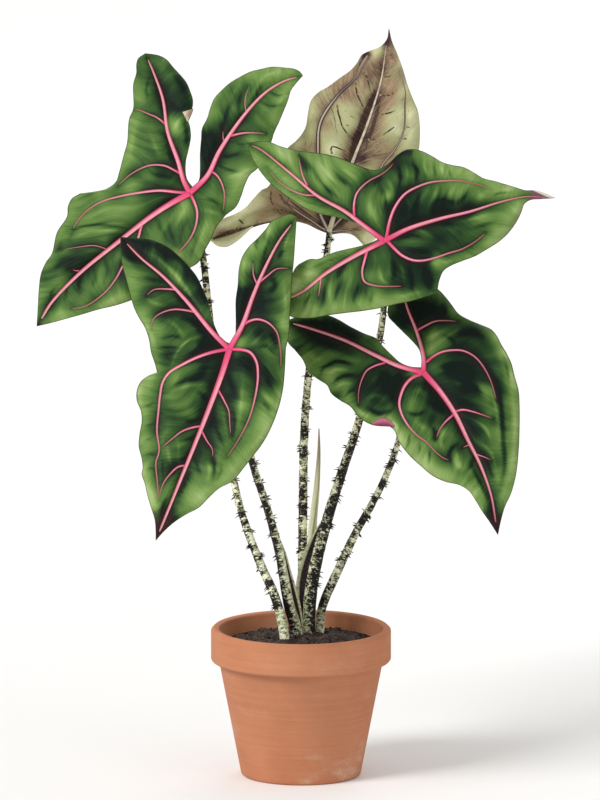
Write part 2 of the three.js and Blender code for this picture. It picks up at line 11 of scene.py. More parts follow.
import bmesh
import bpy
import numpy as np
from mathutils import Matrix, Vector
from mathutils.bvhtree import BVHTree


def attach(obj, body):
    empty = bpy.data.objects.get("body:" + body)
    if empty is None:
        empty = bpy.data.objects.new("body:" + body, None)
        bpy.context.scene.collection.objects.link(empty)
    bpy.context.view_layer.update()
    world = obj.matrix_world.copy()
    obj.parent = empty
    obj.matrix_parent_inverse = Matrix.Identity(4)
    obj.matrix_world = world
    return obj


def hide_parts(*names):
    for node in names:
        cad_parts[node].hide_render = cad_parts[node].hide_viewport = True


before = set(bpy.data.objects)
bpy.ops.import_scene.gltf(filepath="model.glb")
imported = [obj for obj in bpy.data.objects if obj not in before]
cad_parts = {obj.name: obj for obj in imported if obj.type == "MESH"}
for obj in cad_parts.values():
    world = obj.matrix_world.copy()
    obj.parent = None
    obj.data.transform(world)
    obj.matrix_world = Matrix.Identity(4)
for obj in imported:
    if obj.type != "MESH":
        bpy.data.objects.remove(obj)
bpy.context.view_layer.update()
bpy.ops.object.select_all(action="DESELECT")

# %% [markdown]
# ## The drawing sheet
# The plant was set out on a front elevation drawn at full size: x across and y down, in
# millimetres, with a depth behind the middle of the pot along the line of sight. The eye looks
# down a little. One function turns such a place into metres in the frame, so all the leaves can
# be drawn flat and still stand in the round.

# %% From the sheet to the frame
VIEW_TILT = math.radians(11)
SHEET_X, SHEET_Y, SOIL_TOP = 301.0, 688.0, 138.0


def place(x, y, depth):
    x, y, depth = np.broadcast_arrays(*(np.asarray(v, float) for v in (x, y, depth)))
    up = SHEET_Y - y
    ahead = up * math.sin(VIEW_TILT) + depth * math.cos(VIEW_TILT)
    height = SOIL_TOP + up * math.cos(VIEW_TILT) - depth * math.sin(VIEW_TILT)
    return np.stack([x - SHEET_X, ahead, height], axis=-1) / 1000


def unplace(point):
    """The sheet place of a point in the frame, in millimetres."""
    x, y, z = np.moveaxis(np.asarray(point) * 1000, -1, 0)
    up = y * math.sin(VIEW_TILT) + (z - SOIL_TOP) * math.cos(VIEW_TILT)
    depth = y * math.cos(VIEW_TILT) - (z - SOIL_TOP) * math.sin(VIEW_TILT)
    return x + SHEET_X, SHEET_Y - up, depth


print("leaf B's joint:", place(230, 399, -165).round(3))

# %% [markdown]
# ## Smooth lines
# Margins, veins and stalks are all smooth lines through a few points. The centripetal
# Catmull-Rom rule passes through every point and never loops between close ones, and the plain
# model uses it too, so both agree. `at` reads the line by its parameter, `along` by the share of
# its length.

# %% A smooth line through points
class Line:
    def __init__(self, points):
        self.points = np.array(points, float)
        first, last = self.points[0], self.points[-1]
        before, after = 2 * first - self.points[1], 2 * last - self.points[-2]
        self.ring = np.vstack([before, self.points, after])
        self.gaps = np.maximum(np.linalg.norm(np.diff(self.ring, axis=0), axis=1), 1e-6) ** 0.5
        self.t = np.linspace(0, 1, 201)
        steps = np.linalg.norm(np.diff(self.at(self.t), axis=0), axis=1)
        self.reach = np.concatenate([[0], np.cumsum(steps)])
        self.length = self.reach[-1]

    def at(self, t):
        spans = len(self.points) - 1
        t = np.clip(np.asarray(t, float), 0, 1) * spans
        k = np.minimum(t.astype(int), spans - 1)
        w = (t - k)[..., None]
        p0, p1, p2, p3 = (self.ring[k + i] for i in range(4))
        g0, g1, g2 = (self.gaps[k + i][..., None] for i in range(3))
        m1 = ((p1 - p0) / g0 - (p2 - p0) / (g0 + g1) + (p2 - p1) / g1) * g1
        m2 = ((p2 - p1) / g1 - (p3 - p1) / (g1 + g2) + (p3 - p2) / g2) * g1
        return (
            p1 + m1 * w + (3 * (p2 - p1) - 2 * m1 - m2) * w**2 + (2 * (p1 - p2) + m1 + m2) * w**3
        )

    def parameter(self, share):
        return np.interp(np.asarray(share, float) * self.length, self.reach, self.t)

    def along(self, share):
        return self.at(self.parameter(share))

    def heading(self, t):
        step = self.at(np.asarray(t) + 1e-4) - self.at(np.asarray(t) - 1e-4)
        return step / np.linalg.norm(step, axis=-1, keepdims=True)


print("a quarter circle's length:", round(Line([[0, 1], [0.7, 0.7], [1, 0]]).length, 3))

# %% [markdown]
# ## The five leaves
# An arrow-shaped leaf has a front part and two rear lobes, each with its own rib. The stalk joins
# at `joint`, `sinus` is the bottom of the cleft between the lobes, and `notches` are the waists
# of the sides. `rib_widths` are the widths of the front rib and of the lobes' ribs at both ends.
# `lean`, `droop` and `wave` bend the flat drawing into depth. Each vein lists its width at both
# ends, then its points. `shades` are soft dark and light places, as a painter lays them in before
# the detail: x, y, size and strength. They are painted shade and painted light, and hold some of
# the leaf's own tone too. `strokes` are soft folds: half width, strength and points, below zero
# for a dark valley and above for a pale ridge. Each fold is shaped in the relief and also painted,
# as shade in its valley and as a highlight on its ridge. Leaf E, seen from beneath, also has a
# purple `flush` in soft places and `fine_veins` of one width.

# %% Leaf A, upper left
LEAVES = {}
LEAVES["a"] = dict(
    joint=[190, 243], sinus=[193, 237], tip=[37, 376], notches=[80, 243, 226, 265],
    rib_widths=[6, 2.4, 5.2, 1.8, 5.6, 1.9], depth=-35, lean=[-0.25, 0.5], droop=[0.07, 0.05],
    wave=[5, 9, 0.4], rib=[170.8, 253.5, 151, 266.4, 118, 292.1, 80.5, 322.5, 52, 352],
    sides=[
        [72, 248, 68, 256, 67, 266, 57, 282, 52, 303, 46, 312, 41, 324, 39, 340, 38, 358],
        [50, 373, 65, 369, 83, 364, 100, 359, 117, 355, 132, 350, 150, 343, 180, 326, 190, 318,
         197, 314, 202, 308, 206, 299, 211, 290, 216, 278],
    ],
    lobes=[
        dict(
            tip=[145, 102],
            rib=[183.7, 230.1, 178.4, 211.5, 167.9, 181.8, 162.7, 148.1, 153.5, 121.8],
            inner=[
                187, 228, 186, 212, 189, 198, 191, 186, 190, 176, 188, 168, 192, 159, 193, 150,
                190, 140, 186, 131, 173, 116, 166, 108, 158, 104,
            ],
            outer=[
                138, 107, 136, 113, 136, 122, 133, 133, 133, 158, 129, 168, 127, 192, 124, 203,
                119, 222, 116, 231, 107, 238, 95, 241,
            ],
        ),
        dict(
            tip=[303, 125],
            rib=[207.5, 225.6, 220.1, 200, 245.4, 163.3, 265.8, 141.9, 284.2, 130.6],
            inner=[
                199, 230, 200, 218, 200, 203, 201, 190, 202, 178, 207, 168, 210, 158, 214, 148,
                222, 139, 230, 132, 240, 126, 250, 121, 262, 118, 272, 116, 286, 117, 294, 118,
                300, 121,
            ],
            outer=[
                236, 257, 241, 247, 245, 235, 250, 225, 257, 219, 265, 208, 272, 190, 274, 183,
                279, 172, 284, 160, 288, 150, 291, 140, 296, 133,
            ],
        ),
    ],
    veins=[
        [3.2, 1.2, 190, 243, 178, 242, 160, 240.3, 140, 242.3, 120, 246, 102.1, 251.2, 87.9, 259.9,
         78.1, 270.1, 73.1, 278.1],
        [2.8, 1.1, 147.7, 267.8, 142.3, 274.6, 138.4, 287.7, 131, 303, 122.4, 317.2, 117.2, 327.1,
         107.8, 339.8, 96.6, 349.5, 84.7, 356.3, 71.9, 358.5],
        [3, 1.2, 190, 243, 194.5, 252.2, 197.3, 262.1, 196.2, 274.7, 191.9, 285.9, 184.3, 296.4,
         174.9, 305.8], [2.2, 0.9, 166, 174, 156.7, 166.7, 149, 163.5, 139.6, 159.6, 133.7, 158.6],
        [2.4, 0.9, 180.6, 223.4, 173.6, 219.4, 164.9, 215.4, 151.9, 214.7, 142.3, 217.5, 129.3,
         225, 118.1, 235.1], [2.4, 0.9, 230.9, 185.5, 243, 182.9, 253, 182.6, 266, 183.4],
        [2.2, 1, 210.7, 220.4, 217.7, 226.1, 222.6, 235.5, 224.6, 245.1, 223.2, 261.9],
        [1.3, 0.6, 224.1, 193, 223.1, 186, 223.1, 178], [1.2, 0.5, 246, 162, 245, 150, 249, 135],
        [1.4, 0.6, 79.9, 320.4, 75.7, 320.3, 70.9, 318.4],
        [1.2, 0.5, 108.9, 299.5, 95, 295.4, 80, 296.6, 61.9, 299.6],
    ],
    shades=[
        182, 138, 17, -0.55, 172, 158, 10, -0.3, 207, 190, 11, -0.7, 206, 215, 7, -0.5, 218, 168,
        12, -0.35, 160, 228, 15, -0.25, 78, 312, 16, -0.35, 60, 325, 12, -0.2, 185, 264, 11, 0.4,
        140, 190, 18, 0.12, 232, 228, 12, 0.25, 105, 350, 15, 0.3, 270, 128, 14, 0.25, 60, 366, 12,
        0.3, 85, 285, 14, 0.15, 150, 305, 22, 0.1, 148, 180, 9, -0.2, 245, 200, 14, -0.15, 200,
        282, 10, 0.25, 176, 172, 6, 0.3, 138, 116, 8, -0.28, 160, 104, 8, -0.25, 188, 155, 6, -0.3,
        170, 165, 5, 0.2, 175, 182, 5, 0.2, 136, 182, 9, -0.15, 150, 200, 9, -0.2, 180, 208, 8,
        -0.25, 130, 234, 9, 0.22, 100, 249, 8, 0.28, 78, 270, 8, 0.28, 150, 217, 7, 0.18, 226, 142,
        9, -0.25, 214, 165, 6, 0.22, 229, 214, 9, -0.25, 225, 249, 8, 0.25, 258, 247, 6, 0.22, 229,
        280, 8, 0.3, 180, 274, 8, -0.22, 50, 358, 9, -0.28, 41, 330, 7, -0.25, 92, 355, 9, -0.2,
        160, 264, 7, 0.18, 184, 254, 5, 0.2, 90, 285, 9, -0.12, 122, 252, 12, 0.2, 58, 335, 8,
        0.25, 148, 172, 11, 0.15, 138, 124, 7, -0.3, 171, 172, 6, 0.3, 185, 190, 6, -0.3, 66, 332,
        7, 0.3, 128, 330, 6, -0.35, 88, 257, 7, 0.25, 130, 243, 7, 0.2, 88, 244, 5, -0.2, 170, 116,
        6, -0.3, 125, 315, 5, -0.3, 60, 340, 6, 0.2, 178, 302, 5, 0.3, 172, 318, 6, -0.25, 195,
        335, 6, -0.2, 290, 128, 8, 0.3, 262, 190, 7, -0.1, 252, 188, 9, 0.3, 216, 160, 7, 0.2, 220,
        190, 6, -0.15, 132, 338, 9, -0.3, 46, 326, 7, -0.25, 80, 343, 8, -0.2, 173, 316, 7, -0.3,
        86, 264, 9, 0.25, 150, 219, 8, 0.15, 84, 352, 6, 0.2, 108, 330, 8, 0.15, 184, 251, 5, 0.3,
        190, 294, 6, 0.3, 178, 304, 5, 0.2, 172, 178, 7, 0.2, 252, 150, 10, 0.25, 276, 136, 10,
        0.25, 212, 178, 7, 0.2, 252, 193, 7, 0.15, 182, 172, 6, -0.3, 187, 158, 6, -0.25, 207, 206,
        6, -0.25, 198, 225, 5, -0.25, 134, 108, 6, -0.2, 235, 138, 6, -0.2, 225, 250, 6, 0.2, 105,
        250, 9, 0.25, 135, 241, 8, 0.15, 76, 280, 6, 0.2, 66, 302, 6, 0.3, 68, 328, 8, 0.2, 82,
        352, 8, 0.2, 122, 346, 6, 0.3, 118, 290, 7, -0.3, 130, 322, 7, -0.3, 180, 303, 6, 0.25,
        184, 270, 7, -0.25, 173, 288, 7, -0.2, 150, 256, 9, -0.2, 170, 248, 7, -0.2, 200, 226, 5,
        -0.4, 201, 195, 6, -0.2, 216, 202, 7, -0.2, 255, 190, 8, 0.2, 244, 224, 8, 0.35, 160, 140,
        6, -0.2, 137, 138, 6, -0.2, 150, 103, 7, -0.2, 148, 113, 6, 0.25, 141, 162, 7, 0.15, 212,
        155, 6, -0.2, 266, 123, 6, -0.2, 241, 156, 6, 0.15, 250, 170, 8, -0.2,
    ],
    strokes=[
        [5, -0.5, 172, 118, 182, 135, 188, 152], [4, -0.4, 170, 150, 176, 158, 184, 158],
        [4, -0.5, 184, 168, 187, 182, 186, 198], [3, -0.35, 160, 181, 166, 186, 169, 196],
        [4, -0.4, 166, 196, 172, 207, 176, 216], [4, -0.4, 176, 230, 165, 226, 148, 222],
        [4, -0.4, 180, 247, 168, 252, 152, 259],
        [2.5, -0.45, 68, 290, 76, 279, 88, 275, 108, 275, 128, 279],
        [5, -0.45, 54, 320, 66, 309, 82, 309], [4, -0.35, 62, 289, 60, 296, 55, 304],
        [3, -0.4, 83, 322, 79, 334, 80, 346], [2.5, -0.35, 93, 315, 95, 328, 92, 340],
        [2.5, -0.35, 70, 333, 66, 343, 66, 353], [3, -0.35, 105, 307, 108, 320, 105, 332],
        [3, -0.45, 168, 266, 171, 282, 177, 297], [3.5, -0.4, 156, 267, 163, 282, 168, 296],
        [2.5, -0.4, 200, 283, 194, 297, 190, 310], [3, -0.4, 204, 248, 212, 250, 221, 256],
        [4, -0.7, 203, 180, 204, 197, 203, 214], [5, -0.5, 210, 172, 211, 190, 207, 207],
        [3, -0.45, 222, 182, 226, 165, 233, 146], [3, -0.4, 240, 166, 239, 152, 243, 138],
        [3, -0.4, 251, 153, 257, 143, 264, 131], [2, -0.45, 270, 141, 278, 145, 287, 143],
        [2, -0.45, 263, 151, 272, 156, 285, 153], [3, -0.4, 232, 192, 243, 194, 254, 192],
        [4, -0.4, 219, 207, 232, 205, 244, 204], [2, -0.4, 215, 213, 234, 221, 253, 222],
        [3, 0.45, 185, 164, 178, 172, 173, 182], [4, 0.25, 137, 170, 132, 190, 129, 212],
        [2.5, 0.3, 150, 182, 155, 195, 161, 208], [5, 0.25, 95, 262, 115, 262, 140, 258],
        [2.5, 0.45, 78, 285, 90, 281, 108, 280, 122, 282],
        [3, 0.35, 56, 307, 68, 300, 84, 298, 98, 300], [4, 0.4, 186, 258, 180, 268, 174, 280],
        [2.5, 0.25, 176, 262, 166, 275, 160, 288], [3, 0.35, 208, 266, 204, 280, 197, 296],
        [3, 0.4, 203, 259, 213, 262, 222, 266], [3, 0.3, 209, 168, 214, 150, 224, 137],
        [2, 0.4, 246, 160, 246, 146, 251, 132], [2.5, 0.3, 230, 155, 234, 142, 240, 132],
        [2.5, 0.3, 258, 133, 266, 125, 280, 121], [3, 0.3, 275, 160, 281, 150, 290, 138],
        [3, 0.3, 253, 203, 262, 194, 270, 186], [3, 0.35, 228, 228, 242, 222, 256, 219],
        [4, 0.2, 118, 346, 108, 352, 92, 358], [4, 0.2, 45, 362, 60, 362, 75, 362],
        [2, -0.3, 150, 125, 146, 138, 148, 150], [2, -0.3, 188, 268, 182, 282, 180, 296],
        [2, -0.3, 58, 335, 52, 342, 50, 352],
    ],
)
print("leaf a:", len(LEAVES["a"]["veins"]), "veins")

# %% Leaf B, lower left, in front of the others
LEAVES["b"] = dict(
    joint=[230, 399], sinus=[231, 394], tip=[157, 589], notches=[158, 422, 286, 398],
    rib_widths=[6.2, 2.2, 5.4, 1.8, 5.6, 1.9], depth=-165, lean=[-0.1, 0.55], droop=[0.07, 0.05],
    wave=[5, 10, 1.6], rib=[222.7, 422.9, 209.8, 457.9, 196, 493, 182.2, 527.1, 168.8, 560.3],
    sides=[
        [150, 425, 142, 431, 138, 440, 138, 450, 142, 460, 143, 470, 141, 482, 140, 495, 143, 508,
         144, 517, 143, 523, 146, 532, 149, 545, 152, 555, 156, 568, 157, 580],
        [165, 580, 175, 571, 187, 563, 200, 556, 210, 546, 220, 537, 233, 530, 245, 516, 252, 507,
         262, 494, 270, 480, 278, 460, 283, 440, 285, 420],
    ],
    lobes=[
        dict(
            tip=[121, 287], rib=[212.9, 382.1, 186.6, 350.3, 163.7, 326.4, 141.9, 308.3],
            inner=[
                222, 388, 215, 375, 211, 362, 208, 350, 203, 338, 197, 326, 188, 315, 178, 305,
                168, 297, 158, 292, 148, 289, 135, 288,
            ],
            outer=[
                121, 298, 123, 315, 127, 330, 131, 345, 135, 358, 140, 368, 146, 378, 150, 390,
                152, 402, 156, 414,
            ],
        ),
        dict(
            tip=[297, 267], rib=[243, 375, 253.2, 346.7, 263.8, 321.4, 279.2, 291.5],
            inner=[
                235, 388, 236, 378, 236, 365, 236, 350, 238, 335, 239, 320, 242, 308, 248, 298,
                258, 288, 266, 279, 272, 271, 281, 267, 290, 264,
            ],
            outer=[289, 385, 290, 365, 291, 350, 292, 330, 294, 310, 295, 295, 296, 280],
        ),
    ],
    veins=[
        [3.4, 1.2, 230, 399, 215.1, 401.5, 200.1, 406.2, 185.1, 413.2, 170.2, 422.2, 163.7, 431.9,
         161.1, 444.9, 159.6, 460, 158.1, 480, 160.3, 500, 157.1, 512, 158.6, 530, 160, 548.1],
        [2.4, 1, 203, 475.2, 193.2, 476.8, 182.8, 480.7, 173.1, 488.1, 162.7, 496.7],
        [2.2, 1, 189.1, 514.4, 179.8, 515.5, 171.6, 522.6, 164.8, 531.9, 160.5, 544.8],
        [2, 0.7, 219.1, 440, 224.7, 450.2, 229.3, 460.2, 230.3, 472.1, 231.3, 485.1],
        [1.8, 0.7, 202.6, 480.3, 207.4, 489.6, 213, 498.2, 213.4, 508],
        [3.2, 0.9, 230, 399, 242.1, 399.7, 250.5, 402.4, 256.7, 411.7, 258.2, 425.1, 257.1, 437.8,
         253.6, 454.6, 249.7, 467.5, 244.2, 479.6, 235.7, 494.2, 227.3, 506.5],
        [2.2, 0.8, 178, 339.9, 168, 339.1, 154.9, 339.7, 146.9, 345.9],
        [2.3, 0.9, 197.1, 362.5, 188.1, 360.5, 175, 359.4, 163.2, 362.5, 154.6, 368.7, 151.7,
         379.9], [2, 0.8, 257.8, 335.1, 253.8, 325, 253.3, 312],
        [2, 0.8, 259.6, 332.6, 268.3, 325.4, 276.7, 319.2, 290, 318.4],
        [2.6, 0.8, 242.7, 375.6, 250, 371.1, 258, 369.4, 268.2, 372.8, 276.6, 381.6, 279.7, 393.3,
         281, 405, 281, 418],
    ],
    shades=[
        203, 348, 9, -0.6, 188, 325, 9, -0.6, 165, 303, 9, -0.55, 135, 300, 12, -0.5, 213, 392, 20,
        -0.5, 208, 428, 18, -0.35, 244, 418, 15, -0.4, 245, 350, 11, -0.6, 264, 355, 12, -0.5, 247,
        320, 7, -0.3, 163, 566, 11, -0.35, 170, 365, 14, -0.3, 150, 340, 10, -0.15, 240, 392, 6,
        0.3, 257, 382, 8, -0.25, 178, 328, 6, 0.35, 232, 512, 16, 0.4, 262, 470, 13, 0.35, 202,
        542, 11, 0.3, 152, 435, 9, 0.25, 150, 490, 8, 0.25, 185, 455, 12, 0.15, 262, 300, 10, 0.2,
        140, 325, 9, 0.1, 284, 360, 7, -0.1, 126, 293, 8, -0.55, 146, 295, 8, -0.5, 168, 305, 7,
        -0.4, 190, 322, 7, -0.35, 206, 342, 7, -0.35, 152, 371, 8, 0.25, 151, 424, 7, 0.25, 176,
        417, 7, 0.3, 197, 414, 6, 0.15, 213, 395, 7, -0.25, 168, 398, 8, -0.15, 262, 345, 11, -0.2,
        241, 366, 6, -0.25, 268, 314, 7, -0.2, 214, 436, 7, -0.3, 230, 446, 7, -0.3, 272, 432, 8,
        -0.25, 175, 462, 9, -0.3, 198, 455, 8, -0.25, 205, 490, 6, -0.3, 172, 512, 8, -0.28, 142,
        523, 8, 0.3, 148, 540, 8, 0.42, 155, 555, 6, 0.4, 200, 545, 8, 0.2, 222, 528, 8, 0.22, 245,
        455, 6, 0.18, 246, 480, 7, 0.15, 172, 567, 6, -0.4, 150, 482, 7, -0.15, 175, 425, 7, 0.25,
        152, 546, 6, 0.2, 158, 572, 5, 0.3, 161, 546, 8, 0.35, 155, 577, 5, 0.4, 177, 568, 6,
        -0.35, 252, 318, 6, 0.25, 241, 393, 6, 0.35, 262, 384, 5, -0.3, 165, 412, 6, -0.2, 187,
        418, 6, 0.2, 215, 474, 5, -0.25, 203, 507, 5, -0.25, 236, 447, 5, -0.2, 138, 440, 6, 0.2,
        180, 440, 6, -0.15, 213, 468, 8, -0.25, 206, 480, 6, -0.2, 258, 382, 6, -0.2, 214, 475, 7,
        -0.25, 200, 503, 6, -0.2, 180, 497, 6, -0.2, 264, 386, 6, -0.25, 276, 432, 6, -0.25, 235,
        440, 6, -0.2, 240, 367, 6, -0.25, 172, 405, 7, -0.2, 237, 401, 6, 0.35, 170, 428, 10, 0.2,
        192, 419, 7, 0.2, 153, 375, 7, 0.2, 196, 392, 6, 0.2, 147, 520, 6, 0.15, 148, 545, 7, 0.15,
        170, 537, 8, 0.2, 238, 488, 10, 0.15, 247, 455, 6, 0.2, 204, 442, 6, 0.2, 164, 500, 5, 0.2,
        138, 352, 5, -0.3, 173, 316, 7, -0.25, 195, 335, 6, -0.25, 188, 352, 6, -0.25, 262, 290, 6,
        -0.2, 208, 462, 8, -0.3, 214, 490, 7, -0.25, 178, 468, 8, -0.2, 240, 358, 6, -0.3, 237,
        372, 6, -0.35, 203, 503, 7, -0.15, 170, 515, 6, -0.2, 247, 348, 6, -0.2, 168, 410, 7, -0.2,
        283, 375, 6, 0.35, 284, 395, 6, 0.3, 283, 420, 5, 0.25, 157, 455, 6, 0.2, 160, 490, 8,
        0.25, 160, 510, 6, 0.2, 176, 488, 7, 0.2, 160, 381, 6, 0.2, 266, 457, 7, 0.2, 190, 545, 8,
        0.2, 249, 315, 6, 0.4,
    ],
    strokes=[
        [5, -0.8, 135, 291, 155, 295, 174, 304, 190, 318, 202, 336, 208, 356],
        [3.5, 0.55, 142, 300, 158, 308, 174, 323, 188, 341, 200, 359, 211, 378],
        [6, -0.5, 124, 297, 128, 305, 138, 312], [4, -0.4, 142, 326, 155, 330, 168, 333],
        [3, 0.4, 145, 347, 155, 353, 168, 356], [4, -0.5, 176, 345, 188, 352, 196, 360],
        [5, -0.5, 180, 366, 195, 372, 208, 384], [5, -0.55, 200, 372, 210, 384, 218, 394],
        [2.5, 0.35, 166, 368, 178, 377, 186, 390], [4, 0.4, 146, 372, 152, 385, 156, 398],
        [2.5, -0.45, 160, 388, 175, 386, 186, 389], [2, -0.45, 158, 398, 168, 397, 180, 398],
        [1.6, -0.35, 160, 405, 170, 404, 178, 404],
        [1.8, 0.55, 205, 384, 188, 391, 178, 402, 173, 415],
        [6, -0.6, 195, 392, 208, 394, 220, 398], [4, -0.4, 185, 406, 200, 401, 215, 396],
        [6, -0.5, 208, 412, 202, 422, 185, 428],
        [2.5, 0.4, 165, 447, 180, 438, 198, 434, 212, 434],
        [3, -0.45, 172, 436, 188, 430, 205, 427], [4, -0.5, 197, 440, 206, 447, 210, 455],
        [6, 0.2, 172, 450, 178, 462, 180, 475], [4, -0.5, 182, 470, 194, 470, 204, 466],
        [3.5, -0.45, 180, 490, 190, 488, 200, 484], [4, -0.55, 192, 500, 188, 507, 180, 510],
        [2.5, 0.4, 168, 494, 170, 505, 172, 515], [2, 0.3, 178, 487, 180, 497, 180, 505],
        [2.5, -0.4, 163, 505, 164, 518, 163, 530], [2, -0.35, 144, 506, 152, 503, 158, 505],
        [2, -0.35, 145, 521, 152, 517, 157, 520], [1.8, -0.35, 144, 476, 156, 473],
        [1.8, -0.35, 144, 490, 156, 487], [1.8, -0.35, 145, 456, 157, 452],
        [4, 0.3, 142, 430, 140, 445, 146, 465], [3, -0.45, 168, 545, 164, 555, 162, 566],
        [6, -0.6, 236, 410, 246, 412, 253, 420], [3, 0.35, 243, 422, 242, 445, 240, 475],
        [4, -0.5, 228, 424, 232, 434, 236, 444], [2.5, 0.35, 223, 455, 225, 470, 229, 487],
        [2.5, -0.55, 233, 456, 235, 472, 233, 490], [3, -0.45, 214, 470, 220, 485, 226, 500],
        [2.5, -0.65, 214, 505, 215, 517, 213, 529], [3, 0.45, 206, 508, 211, 518, 209, 530],
        [3, -0.45, 196, 507, 199, 517, 202, 525], [4, -0.45, 192, 518, 184, 535, 178, 548],
        [3, -0.35, 221, 510, 222, 520, 216, 530], [5, -0.5, 262, 412, 268, 425, 272, 438],
        [4, -0.55, 262, 448, 268, 457, 272, 464], [4, 0.3, 270, 470, 262, 485, 250, 500],
        [4, 0.35, 262, 441, 267, 447, 275, 452], [4, 0.3, 284, 425, 281, 445, 274, 468],
        [5, -0.7, 238, 330, 238, 350, 238, 372], [5, -0.6, 246, 335, 247, 352, 243, 366],
        [3, 0.3, 246, 303, 244, 318, 245, 332], [2.5, -0.45, 256, 300, 258, 285, 263, 275],
        [2, 0.4, 252, 298, 255, 287, 261, 277], [2, 0.4, 266, 295, 268, 283, 271, 274],
        [2.5, -0.45, 262, 315, 266, 300, 270, 287], [3, -0.55, 278, 310, 282, 302, 288, 300],
        [2, 0.4, 284, 303, 286, 293, 290, 283], [4, -0.5, 270, 325, 275, 335, 268, 345],
        [4, -0.55, 258, 350, 262, 358, 258, 364], [3, 0.35, 284, 335, 286, 353, 284, 370],
        [4, -0.5, 268, 378, 274, 388, 277, 400], [3, -0.4, 256, 398, 266, 396, 275, 404],
        [3, 0.35, 250, 396, 258, 388, 268, 380],
    ],
)
print("leaf b:", len(LEAVES["b"]["veins"]), "veins")

